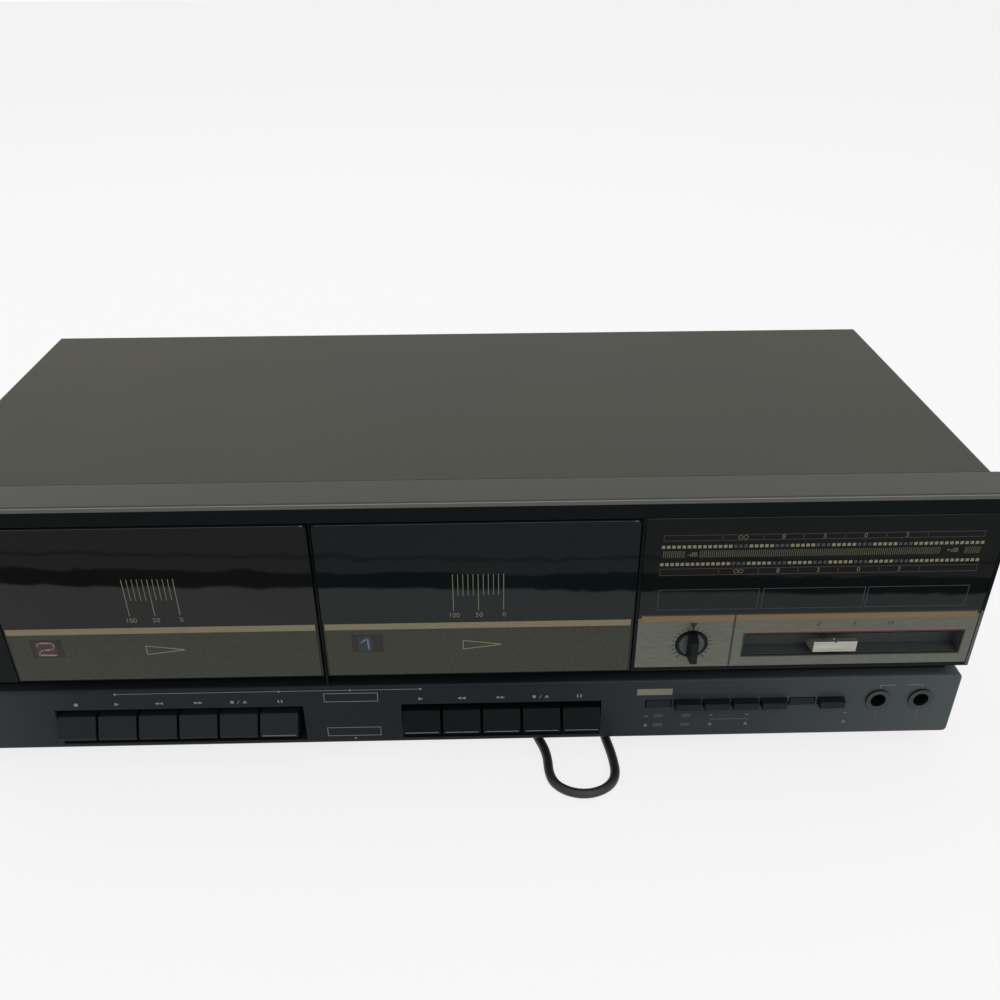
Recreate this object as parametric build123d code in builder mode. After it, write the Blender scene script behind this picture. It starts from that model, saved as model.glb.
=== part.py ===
"""Double cassette deck with two front doors, a level display and a mains lead.

The frame is +Z up with the front towards -Y. The origin is under the middle of the
deck, on the surface that its feet stand on. Sizes are in millimetres.
"""
from build123d import *
import math
import os

os.makedirs("parts", exist_ok=True)

# Case
body_width = 430.0
foot_height = 8.0
cover_inset = 2.5
cover_depth = 193.0
rim_depth = 19.8
cover_sheet = 1.0
tray_sheet = 1.2
tray_side = 45.0
front_wall = 3.0
rim_wall = 3.0
rim_chamfer = 1.8
knob_reach = 7.0
jack_reach = 10.0

# Clearances
seam = 0.3
slip = 0.2
moving_gap = 0.4
running = 0.05

# Front layout, heights above the underside of the case
strip_height = 31.6
groove_height = 5.6
groove_depth = 6.0
groove_wall = 1.5
band_height = 7.8
door_side = 13.3
door_gap = 1.5
door_1_x = 7.5
rib_width = 0.7
recess_wall = 2.0
panel_edge = 1.2
panel_margin = 1.5
plate_thickness = 2.0

# Door and tape pocket
door_panel = 2.6
door_border = 1.5
window_thickness = 2.0
window_lip = 3.0
gold_strip_height = 3.2
lower_plate_height = 23.6
hinge_depth = 6.0
hinge_rise = 2.8
hinge_pin_radius = 1.5
hinge_tab_radius = 2.8
tape_width = 100.4
tape_height = 63.8
tape_thickness = 12.0
tape_rise = 6.3
tape_headroom = 2.9
hub_spacing = 42.5
hub_rise = 34.6
pocket_wall = 2.0
pocket_web = 0.8
ledge_thickness = 1.5
ledge_reach = 8.0
flange_reach = 6.5

# Tape mechanism
plate_depth = 19.0
plate_sheet = 1.5
plate_inset = 5.0
plate_rise = 1.8
plate_drop = 5.2
strip_depth = 14.0
cheek_length = 10.0
capstan_offset = 22.0
capstan_rise = 9.0
capstan_radius = 1.25
flywheel_radius = 27.4
flywheel_front = 27.0
flywheel_thickness = 7.0
hub_wheel_radius = 6.0
spindle_shaft_radius = 1.5
reel_table_radius = 12.0
spindle_hub_radius = 4.2
supply_wheel_radius = 10.0
wheel_gap = 0.3
motor_radius = 18.0
motor_length = 27.0
motor_rise = 37.5
pulley_radius = 6.0
pulley_width = 5.0
belt_width = 4.0
belt_thickness = 1.0
belt_gap = 0.3
rear_plate_depth = 38.0

# Keys, pivoted behind the control strip
key_pitch = 17.3
key_gap = 1.2
key_shift_1 = 9.3
key_shift_2 = -1.4
key_count_1 = 5
key_count_2 = 6
key_opening_low = 2.6
key_opening_high = 21.3
key_lip_low = 8.4
key_lip_high = 10.1
key_top = 17.6
key_reach = 4.9
key_back = 6.5
key_pivot_set = 4.0
key_pivot_drop = 5.6
key_boss_radius = 3.5
key_shaft_radius = 1.5
key_side_gap = 0.5
spare_opening = 2.2

# Push switches
button_count = 7
button_inset = 12.1
button_mic_space = 20.4
button_space = 1.6
button_height = 3.5
button_drop = 14.2
button_proud = 3.9
button_latched_proud = 0.4
button_cap = 6.0
latched_buttons = (0, 5)

# Level slider and balance knob
slot_inset = 4.4
slot_balance_space = 21.5
slot_rise = 6.7
slot_opening = 11.4
slider_shift = -8.0
slider_width = 20.0
slider_height = 5.0
slider_proud = 2.5
trough_depth = 8.5
balance_inset = 23.2
balance_rise = 13.4
balance_radius = 6.4
balance_ridge = 5.6
balance_shaft_radius = 3.0

# Microphone and line sockets
mic_insets = (35.0, 16.4)
mic_drop = 12.1
mic_bore_radius = 3.3
mic_wall = 1.2
mic_ring_radius = 5.1
jack_shell_radius = 4.15
jack_pitch = 14.0

# Mains lead
cord_radius = 2.1
cord_exit_x = 100.0
cord_exit_height = 24.0
relief_length = 24.0

# Places worked out from the sizes above
body_half = body_width / 2
cover_width = body_width - 2 * cover_inset
depth_total = knob_reach + cover_depth + jack_reach
face_y = knob_reach - depth_total / 2
door_bottom = strip_height + groove_height
recess_top = door_bottom + tape_rise + tape_height + tape_headroom
body_height = recess_top + band_height
door_width = tape_width + 2 * door_side
door_spacing = door_width + door_gap
plate_half = door_width / 2 - plate_inset
door_top = recess_top - moving_gap
door_2_x = door_1_x - door_spacing
door_xs = {"1": door_1_x, "2": door_2_x}
recess_left = door_2_x - door_width / 2 - moving_gap
recess_right = door_1_x + door_width / 2 + moving_gap
panel_left = recess_right + panel_edge
panel_right = body_width / 2 - panel_margin
window_low = door_bottom + lower_plate_height + gold_strip_height
hinge_height = door_bottom + hinge_rise
tape_low = door_bottom + tape_rise
hub_height = tape_low + hub_rise
capstan_height = tape_low + capstan_rise
pocket_half = tape_width / 2 + seam
pocket_front = door_panel + pocket_web
pocket_back = pocket_front + tape_thickness + slip
rear_panel_back = cover_depth - cover_sheet - slip
rear_panel_front = rear_panel_back - tray_sheet
tray_half = cover_width / 2 - cover_sheet - slip
cheek_front = strip_depth
cheek_back = cheek_front + cheek_length
tray_front = cheek_front + slip
plate_bottom = door_bottom - plate_drop
plate_top = recess_top + plate_rise
takeup_offset = math.hypot(capstan_offset - hub_spacing / 2, hub_height - capstan_height)
takeup_wheel_radius = takeup_offset - hub_wheel_radius - wheel_gap
motor_x = (door_1_x + door_2_x) / 2 + capstan_offset
motor_height = capstan_height + motor_rise
key_width = key_pitch - key_gap
key_centre_1 = door_1_x + key_shift_1
key_centre_2 = door_2_x + key_shift_2
key_pivot_depth = cheek_front + key_pivot_set
key_pivot_height = strip_height - key_pivot_drop
button_low = strip_height - button_drop
slot_low = door_bottom + slot_rise
slot_high = slot_low + slot_opening
balance_x = panel_left + balance_inset
slot_right = panel_right - slot_inset
slot_left = balance_x + slot_balance_space
slider_x = (slot_left + slot_right) / 2 + slider_shift
balance_height = door_bottom + balance_rise
mic_xs = [body_half - inset for inset in mic_insets]
mic_height = strip_height - mic_drop
button_first_x = panel_left + button_inset
button_last_x = mic_xs[0] - button_mic_space
button_pitch = (button_last_x - button_first_x) / (button_count - 1)
button_width = button_pitch - button_space
mic_bush_radius = mic_bore_radius + mic_wall


def at_depth(depth):
    """Return Y at a distance behind the front face."""
    return face_y + depth


def at_height(height):
    """Return Z at a height above the underside of the case."""
    return foot_height + height


def front_plane(depth):
    """Return the upright plane at a depth, with X to the right and Z up."""
    return Plane.XZ.offset(-at_depth(depth))


def block(xs, depths, heights, mode=Mode.ADD):
    """Add or cut a rectangular block given by its limits."""
    middle = (sum(xs) / 2, at_depth(sum(depths) / 2), at_height(sum(heights) / 2))
    with Locations(middle):
        Box(xs[1] - xs[0], depths[1] - depths[0], heights[1] - heights[0], mode=mode)


def bar_y(x, height, radius, depths, mode=Mode.ADD):
    """Add or cut a round bar that runs front to back."""
    with Locations((x, at_depth(sum(depths) / 2), at_height(height))):
        Cylinder(radius, depths[1] - depths[0], rotation=(90, 0, 0), mode=mode)


def bar_x(xs, depth, height, radius, mode=Mode.ADD):
    """Add or cut a round bar that runs left to right."""
    with Locations((sum(xs) / 2, at_depth(depth), at_height(height))):
        Cylinder(radius, xs[1] - xs[0], rotation=(0, 90, 0), mode=mode)


def bar_z(x, depth, radius, heights, mode=Mode.ADD):
    """Add or cut an upright round bar."""
    with Locations((x, at_depth(depth), at_height(sum(heights) / 2))):
        Cylinder(radius, heights[1] - heights[0], mode=mode)


def side_profile(points, xs, mode=Mode.ADD):
    """Add or cut a prism along X from points given as depth and height."""
    outline = [(at_depth(depth), at_height(height)) for depth, height in points]
    with BuildSketch(Plane.YZ.offset(xs[0])) as section:
        Polygon(*outline, align=None)
    extrude(section.sketch, amount=xs[1] - xs[0], mode=mode)


def write(builder, name):
    """Label a finished piece and write its file."""
    builder.part.label = name
    export_step(builder.part, f"parts/{name}.step")


# Chassis tray: floor, low sides, rear panel and board standoffs
board_standoff = 10.0
board_thickness = 1.6
board_xs = (-62.0, 98.0)
board_front = 84.0
board_rear_space = 13.0
board_depths = (board_front, cover_depth - board_rear_space)
board_inset = 6.0
standoff_radius = 3.5
standoff_hole = 1.3
socket_inset = 65.0
socket_x = socket_inset - body_half
socket_height = 60.0
relief_hole_radius = 5.0
screw_radius = 1.5
screw_hole_radius = 1.6
side_screw_height = 22.0
side_screw_insets = (58.0, 33.0)
side_screw_depths = (side_screw_insets[0], cover_depth - side_screw_insets[1])
rear_screw_inset = 65.0
rear_screw_xs = (rear_screw_inset - body_half, 0.0, body_half - rear_screw_inset)
rear_lip = 10.0
rear_screw_height = body_height - cover_sheet - rear_lip / 2
foot_radius = 11.0
foot_inset = 37.0
foot_front = 34.0
foot_rear = 25.0
foot_xs = (foot_inset - body_half, body_half - foot_inset)
foot_depths = (foot_front, cover_depth - foot_rear)
board_mounts = [
    (x, depth)
    for x in (board_xs[0] + board_inset, board_xs[1] - board_inset)
    for depth in (board_depths[0] + board_inset, board_depths[1] - board_inset)
]
jack_places = [
    (socket_x + side * jack_pitch / 2, socket_height + level * jack_pitch / 2)
    for side in (-1, 1)
    for level in (-1, 1)
]

with BuildPart() as chassis:
    block((-tray_half, tray_half), (tray_front, rear_panel_back), (0, tray_sheet))
    for side in (-1, 1):
        outer = side * tray_half
        inner = outer - side * tray_sheet
        block(sorted((inner, outer)), (tray_front, rear_panel_back), (0, tray_side))
    top_of_rear = body_height - cover_sheet - slip
    block((-tray_half, tray_half), (rear_panel_front, rear_panel_back), (0, top_of_rear))
    for x, depth in board_mounts:
        bar_z(x, depth, standoff_radius, (tray_sheet, board_standoff))
        bar_z(x, depth, standoff_hole, (tray_sheet, board_standoff), Mode.SUBTRACT)
    for x, height in jack_places:
        hole = (rear_panel_front, rear_panel_back)
        bar_y(x, height, jack_shell_radius + slip, hole, Mode.SUBTRACT)
    relief_wall = (rear_panel_front, rear_panel_back)
    bar_y(cord_exit_x, cord_exit_height, relief_hole_radius, relief_wall, Mode.SUBTRACT)
    for depth in side_screw_depths:
        across = (-tray_half, tray_half)
        bar_x(across, depth, side_screw_height, screw_hole_radius, Mode.SUBTRACT)
    for x in rear_screw_xs:
        bar_y(x, rear_screw_height, screw_hole_radius, relief_wall, Mode.SUBTRACT)
    for x in foot_xs:
        for depth in foot_depths:
            bar_z(x, depth, screw_hole_radius, (0, tray_sheet), Mode.SUBTRACT)
write(chassis, "chassis")

# Top cover: one folded sheet with a lip over the rear panel
cover_front = rim_depth + seam
cover_bottom = 3.0
cover_bend = 1.6
cover_half = cover_width / 2
with BuildPart() as top_cover:
    block((-cover_half, cover_half), (cover_front, cover_depth), (cover_bottom, body_height))
    inside = (-cover_half + cover_sheet, cover_half - cover_sheet)
    under = (cover_bottom, body_height - cover_sheet)
    block(inside, (cover_front, cover_depth - cover_sheet), under, Mode.SUBTRACT)
    low_rear = (cover_bottom, body_height - cover_sheet - rear_lip)
    block(inside, (cover_depth - cover_sheet, cover_depth), low_rear, Mode.SUBTRACT)
    long_edges = top_cover.edges().filter_by(Axis.Y).group_by(Axis.Z)[-1]
    fillet(long_edges, radius=cover_bend)
    for depth in side_screw_depths:
        across = (-cover_half, cover_half)
        bar_x(across, depth, side_screw_height, screw_hole_radius, Mode.SUBTRACT)
    for x in rear_screw_xs:
        lip = (cover_depth - cover_sheet, cover_depth)
        bar_y(x, rear_screw_height, screw_hole_radius, lip, Mode.SUBTRACT)
write(top_cover, "top_cover")

# Front bezel: rim, door recess, display and control panel seats
bezel_side = body_half - tray_half - slip
seat_back = 4.5
shelf = 1.5
groove_end = 6.0
groove_half = body_half - groove_end
window_gap = 0.2
panel_low = door_bottom + shelf
panel_high = recess_top
control_top = window_low
lamp_insets = (7.4, 7.9)
lamp_drops = (12.9, 20.8)
lamp_xs = (panel_left + lamp_insets[0], panel_right - lamp_insets[1])
lamp_rows = [panel_high - drop for drop in lamp_drops]
led_margin = 1.0
led_above = 6.1
led_below = 5.4
led_xs = (lamp_xs[0] - led_margin, lamp_xs[1] + led_margin)
led_heights = (lamp_rows[1] - led_below, lamp_rows[0] + led_above)
rib_setback = 1.0
trough_margin = 2.2
trough_xs = (slot_left - trough_margin, slot_right + trough_margin)
trough_heights = (slot_low - trough_margin, slot_high + trough_margin)
with BuildPart() as front_bezel:
    block((-body_half, body_half), (0, rim_depth), (door_bottom, body_height))
    hollow = (-body_half + bezel_side, body_half - bezel_side)
    block(hollow, (front_wall, rim_depth), (door_bottom, body_height - rim_wall), Mode.SUBTRACT)
    recess = (recess_left, recess_right)
    block(recess, (0, front_wall), (door_bottom, recess_top), Mode.SUBTRACT)
    top_front = front_bezel.edges().filter_by(Axis.X).group_by(Axis.Z)[-1].sort_by(Axis.Y)[0]
    chamfer(top_front, length=rim_chamfer)
    wall_heights = (door_bottom, body_height - rim_wall)
    block((recess_left - recess_wall, recess_left), (0, rim_depth - shelf), wall_heights)
    block((recess_right, panel_left), (0, rim_depth - shelf), wall_heights)
    block(recess, (0, plate_depth - front_wall), (recess_top, recess_top + shelf))
    rib_x = (door_1_x + door_2_x) / 2
    rib = (rib_x - rib_width / 2, rib_x + rib_width / 2)
    block(rib, (rib_setback, plate_depth - front_wall), (strip_height, recess_top))
    groove_back = (groove_depth, groove_depth + groove_wall)
    groove_top = door_bottom - slip - moving_gap
    block((-groove_half, groove_half), groove_back, (strip_height, groove_top))
    for ends in ((-groove_half, recess_left), (recess_right, groove_half)):
        block(ends, groove_back, (groove_top, door_bottom))
    block((-body_half, recess_left), (0, groove_back[1]), (door_bottom - slip, panel_low))
    block((recess_right, body_half), (0, groove_back[1]), (door_bottom - slip, panel_low))
    seat = (panel_left, panel_right)
    block((recess_right, body_half - bezel_side), (front_wall, seat_back), (door_bottom, recess_top))
    block(seat, (0, plate_thickness), (panel_low, panel_high), Mode.SUBTRACT)
    through = (plate_thickness, seat_back)
    block(led_xs, through, led_heights, Mode.SUBTRACT)
    block(trough_xs, through, trough_heights, Mode.SUBTRACT)
    bar_y(balance_x, balance_height, balance_radius + moving_gap, through, Mode.SUBTRACT)
write(front_bezel, "front_bezel")

# Display window: smoked panel over the level display
window_fillet = 0.4
with BuildPart() as display_window:
    glass_xs = (panel_left + window_gap, panel_right - window_gap)
    block(glass_xs, (0, plate_thickness), (control_top + window_gap, panel_high - window_gap))
    fillet(display_window.edges().filter_by(Axis.X).group_by(Axis.Y)[0], radius=window_fillet)
write(display_window, "display_window")

# Level display: circuit board with two bars of lamps behind the window
lamp_height = 4.0
display_board_front = 8.0
post_radius = 2.0
post_inset = 3.5
with BuildPart() as level_display:
    display_xs = (panel_left + slip, panel_right - front_wall - bezel_side)
    display_heights = (control_top, recess_top)
    board_back = display_board_front + board_thickness
    block(display_xs, (display_board_front, board_back), display_heights)
    for row in lamp_rows:
        around = (row - lamp_height / 2, row + lamp_height / 2)
        block(lamp_xs, (plate_thickness + slip, display_board_front), around)
    for x in (display_xs[0] + post_inset, display_xs[1] - post_inset):
        for height in (display_heights[0] + post_inset, display_heights[1] - post_inset):
            bar_y(x, height, post_radius, (seat_back, display_board_front))
write(level_display, "level_display")

# Control plate with the slider slot and the balance knob's hole
with BuildPart() as control_plate:
    plate_heights = (panel_low + window_gap, control_top - window_gap)
    block(glass_xs, (0, plate_thickness), plate_heights)
    block((slot_left, slot_right), (0, plate_thickness), (slot_low, slot_high), Mode.SUBTRACT)
    knob_bore = balance_radius + moving_gap
    bar_y(balance_x, balance_height, knob_bore, (0, plate_thickness), Mode.SUBTRACT)
write(control_plate, "control_plate")

# Slider track: trough behind the slot and the resistor that the stem runs in
trough_wall = 1.4
trough_back = plate_thickness + trough_depth
stem_height = 2.0
stem_gap = 0.4
slot_middle = (slot_low + slot_high) / 2
slit_half = stem_height / 2 + stem_gap
track_depth = 8.0
track_back = trough_back + track_depth
track_wall = 3.0
track_end = 4.0
with BuildPart() as slider_track:
    outer_xs = (trough_xs[0] + slip, trough_xs[1] - slip)
    outer_heights = (trough_heights[0] + slip, trough_heights[1] - slip)
    block(outer_xs, (plate_thickness, trough_back), outer_heights)
    inner_xs = (outer_xs[0] + trough_wall, outer_xs[1] - trough_wall)
    inner_heights = (outer_heights[0] + trough_wall, outer_heights[1] - trough_wall)
    floor_depth = trough_back - trough_wall
    block(inner_xs, (plate_thickness, floor_depth), inner_heights, Mode.SUBTRACT)
    track_half = slit_half + track_wall
    track_heights = (slot_middle - track_half, slot_middle + track_half)
    block((slot_left, slot_right), (trough_back, track_back), track_heights)
    slit_xs = (slot_left + track_end, slot_right - track_end)
    slit_heights = (slot_middle - slit_half, slot_middle + slit_half)
    slit_depths = (floor_depth, track_back - trough_wall)
    block(slit_xs, slit_depths, slit_heights, Mode.SUBTRACT)
write(slider_track, "slider_track")

# Level knob: wedge with sloping ends that slides along the slot
knob_back = 6.0
knob_top_depth = 0.2
knob_groove_depth = 0.4
knob_groove_width = 0.8
knob_end_slope = 1.0
knob_end_depth = 3.5
knob_round = 0.3
with BuildPart() as level_knob:
    half = slider_height / 2
    wedge = [
        (knob_back, slot_middle - half),
        (-slider_proud, slot_middle - half),
        (-slider_proud, slot_middle + half),
        (knob_top_depth, slot_middle + half),
    ]
    knob_xs = (slider_x - slider_width / 2, slider_x + slider_width / 2)
    side_profile(wedge, knob_xs)
    fillet(level_knob.edges().filter_by(Axis.X).group_by(Axis.Y)[0], radius=knob_round)
    with BuildSketch(Plane.XY.offset(at_height(slot_middle - half))) as end_cuts:
        for side, x in zip((1, -1), knob_xs):
            front_y = at_depth(-slider_proud)
            slope = [(x, front_y), (x + side * knob_end_slope, front_y), (x, at_depth(knob_end_depth))]
            Polygon(*slope, align=None)
    extrude(end_cuts.sketch, amount=slider_height, mode=Mode.SUBTRACT)
    index = (slider_x - knob_groove_width / 2, slider_x + knob_groove_width / 2)
    index_levels = (slot_middle + half - knob_groove_depth, slot_middle + half)
    block(index, (-slider_proud, knob_top_depth), index_levels, Mode.SUBTRACT)
    stem_xs = (slider_x - stem_height, slider_x + stem_height)
    stem_heights = (slot_middle - stem_height / 2, slot_middle + stem_height / 2)
    block(stem_xs, (knob_top_depth, track_back - trough_wall - stem_gap), stem_heights)
write(level_knob, "level_knob")

# Balance knob: round skirt, raised grip ridge and shaft
skirt_front = 0.4
skirt_back = 4.0
ridge_half_width = 1.9
ridge_tip_half = 1.4
ridge_taper = 0.6
pot_size = 16.0
pot_depth = 9.0
pot_end_wall = 1.5
shaft_end = seat_back + pot_depth - pot_end_wall
with BuildPart() as balance_knob:
    bar_y(balance_x, balance_height, balance_radius, (-skirt_front, skirt_back))
    ridge_plane = front_plane(-knob_reach)
    with BuildSketch(front_plane(-skirt_front)) as ridge_root:
        with Locations((balance_x, at_height(balance_height))):
            Rectangle(2 * ridge_half_width, 2 * balance_ridge)
    with BuildSketch(ridge_plane) as ridge_tip:
        with Locations((balance_x, at_height(balance_height))):
            Rectangle(2 * ridge_tip_half, 2 * balance_ridge - ridge_taper)
    loft(sections=[ridge_root.sketch.face(), ridge_tip.sketch.face()])
    bar_y(balance_x, balance_height, balance_shaft_radius, (skirt_back, shaft_end))
write(balance_knob, "balance_knob")

# Switch board: balance pot behind the panel and seven push switches on their board
switch_setback = 1.0
switch_length = 18.0
switch_front = strip_depth + switch_setback
switch_back = switch_front + switch_length
switch_end_wall = 2.0
switch_space = 2.4
switch_body_width = button_pitch - switch_space
switch_below = 4.2
switch_above = 3.9
switch_low = button_low - switch_below
switch_high = button_low + button_height + switch_above
stem_half = 1.5
switch_board_low = switch_low - board_thickness
switch_margin = 3.0
leg_setback = 0.5
leg_size = 2.0
button_xs = [button_first_x + i * button_pitch for i in range(button_count)]
button_middle = button_low + button_height / 2
with BuildPart() as switch_board:
    pot_xs = (balance_x - pot_size / 2, balance_x + pot_size / 2)
    pot_heights = (balance_height - pot_size / 2, balance_height + pot_size / 2)
    block(pot_xs, (seat_back, seat_back + pot_depth), pot_heights)
    pot_bore = (seat_back, shaft_end + moving_gap)
    bar_y(balance_x, balance_height, balance_shaft_radius + running, pot_bore, Mode.SUBTRACT)
    board_left = button_xs[0] - switch_body_width / 2 - switch_margin
    board_right = button_xs[-1] + switch_body_width / 2 + switch_margin
    board_levels = (switch_board_low, switch_low)
    block((board_left, board_right), (switch_front, switch_back + switch_margin), board_levels)
    for x in button_xs:
        case_xs = (x - switch_body_width / 2, x + switch_body_width / 2)
        block(case_xs, (switch_front, switch_back), (switch_low, switch_high))
        hole = stem_half + stem_gap
        hole_heights = (button_middle - hole, button_middle + hole)
        hole_depths = (switch_front, switch_back - switch_end_wall)
        block((x - hole, x + hole), hole_depths, hole_heights, Mode.SUBTRACT)
    leg_depth = (switch_back + leg_setback, switch_back + leg_setback + leg_size)
    for x in (board_left + switch_margin, board_right - switch_margin):
        block((x - leg_size, x + leg_size), leg_depth, (tray_sheet, switch_board_low))
write(switch_board, "switch_board")

# Push buttons, the first and the sixth shown latched in
stem_length = 18.0
stem_end = button_cap + stem_length
button_fillet = 0.5
for i, x in enumerate(button_xs):
    proud = button_latched_proud if i in latched_buttons else button_proud
    with BuildPart() as button:
        cap_xs = (x - button_width / 2, x + button_width / 2)
        block(cap_xs, (-proud, button_cap - proud), (button_low, button_low + button_height))
        fillet(button.edges().group_by(Axis.Y)[0], radius=button_fillet)
        stem = (button_middle - stem_half, button_middle + stem_half)
        block((x - stem_half, x + stem_half), (button_cap - proud, stem_end - proud), stem)
    write(button, f"push_button_{i + 1}")

# Control strip: lower front moulding with openings for keys, buttons and sockets
strip_wall = 2.5
strip_shell = 2.0
strip_corner = 2.2
strip_round = 1.6
button_gap = 0.35


def key_row(centre, count):
    """Return the left edge of each key cap in a row."""
    start = centre - (count * key_pitch - key_gap) / 2
    return [start + i * key_pitch for i in range(count)]


key_rows = {"1": key_row(key_centre_1, key_count_1), "2": key_row(key_centre_2, key_count_2)}
with BuildPart() as control_strip:
    with BuildSketch(front_plane(0)) as strip_face:
        with Locations((0, at_height(strip_height / 2))):
            Rectangle(body_width, strip_height)
        fillet(strip_face.vertices().group_by(Axis.Z)[-1], radius=strip_corner)
    extrude(strip_face.sketch, amount=-strip_depth)
    outline = control_strip.faces().sort_by(Axis.Y)[0].edges()
    fillet(outline.sort_by(Axis.Z)[1:], radius=strip_round)
    hollow_xs = (-body_half + strip_shell, body_half - strip_shell)
    hollow_heights = (strip_shell, strip_height - strip_shell - strip_corner / 2)
    block(hollow_xs, (strip_wall, strip_depth), hollow_heights, Mode.SUBTRACT)
    upper_xs = (-body_half + strip_corner, body_half - strip_corner)
    upper_heights = (hollow_heights[1], strip_height - strip_shell)
    block(upper_xs, (strip_wall, strip_depth), upper_heights, Mode.SUBTRACT)
    for deck, lefts in key_rows.items():
        spare = spare_opening if deck == "2" else 0.0
        opening = (lefts[0] - key_side_gap, lefts[-1] + key_width + key_side_gap + spare)
        heights = (key_opening_low, key_opening_high)
        block(opening, (0, strip_wall), heights, Mode.SUBTRACT)
    for x in button_xs:
        side = button_width / 2 + button_gap
        heights = (button_low - button_gap, button_low + button_height + button_gap)
        block((x - side, x + side), (0, strip_wall), heights, Mode.SUBTRACT)
    for x in mic_xs:
        bar_y(x, mic_height, mic_bush_radius + slip, (0, strip_wall), Mode.SUBTRACT)
write(control_strip, "control_strip")

# Microphone sockets: threaded bush, ring nut and closed body
mic_body = 13.0
mic_body_back = 30.0
mic_bore_back = 28.0
mic_ring = 1.2
with BuildPart() as mic_jacks:
    for x in mic_xs:
        bar_y(x, mic_height, mic_bush_radius, (-mic_ring, strip_wall + slip))
        bar_y(x, mic_height, mic_ring_radius, (-mic_ring, 0))
        around = (mic_height - mic_body / 2, mic_height + mic_body / 2)
        body_depths = (strip_wall, mic_body_back)
        block((x - mic_body / 2, x + mic_body / 2), body_depths, around)
        bar_y(x, mic_height, mic_bore_radius, (-mic_ring, mic_bore_back), Mode.SUBTRACT)
write(mic_jacks, "mic_jacks")

# Line sockets: four round shells on a plate behind the rear panel
jack_plate = 2.0
jack_bore_radius = 1.7
jack_neck_radius = 3.8
jack_end = cover_depth + jack_reach
jack_margin = 8.0
with BuildPart() as line_jacks:
    plate_xs = (socket_x - jack_pitch / 2 - jack_margin, socket_x + jack_pitch / 2 + jack_margin)
    low = socket_height - jack_pitch / 2 - jack_margin
    high = socket_height + jack_pitch / 2 + jack_margin
    block(plate_xs, (rear_panel_front - jack_plate, rear_panel_front), (low, high))
    for x, height in jack_places:
        shell_front = rear_panel_back + slip
        bar_y(x, height, jack_neck_radius, (rear_panel_front, shell_front))
        bar_y(x, height, jack_shell_radius, (shell_front, jack_end))
        bore = (jack_end - jack_reach, jack_end)
        bar_y(x, height, jack_bore_radius, bore, Mode.SUBTRACT)
write(line_jacks, "line_jacks")

# Main board with capacitors, coils and a heat sink
capacitor_height = 22.0
capacitor_radius = 6.0
capacitor_inset = 22.0
capacitor_rear = 20.0
capacitor_pitch = 20.0
chip_half = 10.0
chip_width = 7.0
chip_height = 4.0
chip_inset = 20.0
chip_front = 22.0
chip_pitch = 26.0
fin_inset = 34.0
fin_pitch = 5.0
fin_thickness = 2.0
fin_height = 26.0
fin_count = 6
sink_rear = 12.0
with BuildPart() as main_board:
    board_top = board_standoff + board_thickness
    block(board_xs, board_depths, (board_standoff, board_top))
    for x, depth in board_mounts:
        bar_z(x, depth, standoff_hole, (board_standoff, board_top), Mode.SUBTRACT)
    for i in range(4):
        x = board_xs[0] + capacitor_inset + i * capacitor_pitch
        can = (board_top, board_top + capacitor_height)
        bar_z(x, board_depths[1] - capacitor_rear, capacitor_radius, can)
    for i in range(5):
        x = board_xs[0] + chip_inset + i * chip_pitch
        chip_depths = (board_depths[0] + chip_front, board_depths[0] + chip_front + chip_width)
        block((x - chip_half, x + chip_half), chip_depths, (board_top, board_top + chip_height))
    sink_left = board_xs[1] - fin_inset
    sink_front = board_depths[1] - sink_rear
    fins = (board_top, board_top + fin_height)
    for i in range(fin_count):
        x = sink_left + i * fin_pitch
        block((x, x + fin_thickness), (board_depths[1] - fin_inset, sink_front), fins)
    sink = (sink_left, sink_left + (fin_count - 1) * fin_pitch + fin_thickness)
    block(sink, (sink_front, sink_front + fin_thickness), fins)
write(main_board, "main_board")

# Mains transformer: laminated core, winding and mounting feet
core_inset = 67.0
core_rear = 51.0
core_x = body_half - core_inset
core_depth = cover_depth - core_rear
core_width = 54.0
core_length = 44.0
core_thick = 24.0
core_low = tray_sheet
foot_sheet = 1.5
foot_flange = 10.0
winding_out = 10.0
winding_in = 9.0
winding_round = 4.0
with BuildPart() as transformer:
    core_xs = (core_x - core_width / 2, core_x + core_width / 2)
    core_depths = (core_depth - core_thick / 2, core_depth + core_thick / 2)
    core_levels = (core_low + foot_sheet, core_low + foot_sheet + core_length)
    block(core_xs, core_depths, core_levels)
    wide = (core_xs[0] - foot_flange, core_xs[1] + foot_flange)
    block(wide, core_depths, (core_low, core_low + foot_sheet))
    winding_xs = (core_x - core_width / 4, core_x + core_width / 4)
    winding_depths = (core_depths[0] - winding_out, core_depths[1] + winding_out)
    winding = (core_levels[0] + winding_in, core_levels[1] - winding_in)
    block(winding_xs, winding_depths, winding)
    winding_edges = transformer.edges().filter_by(Axis.Z)
    end_edges = winding_edges.group_by(Axis.Y)[0] + winding_edges.group_by(Axis.Y)[-1]
    fillet(end_edges, radius=winding_round)
write(transformer, "transformer")

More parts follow.
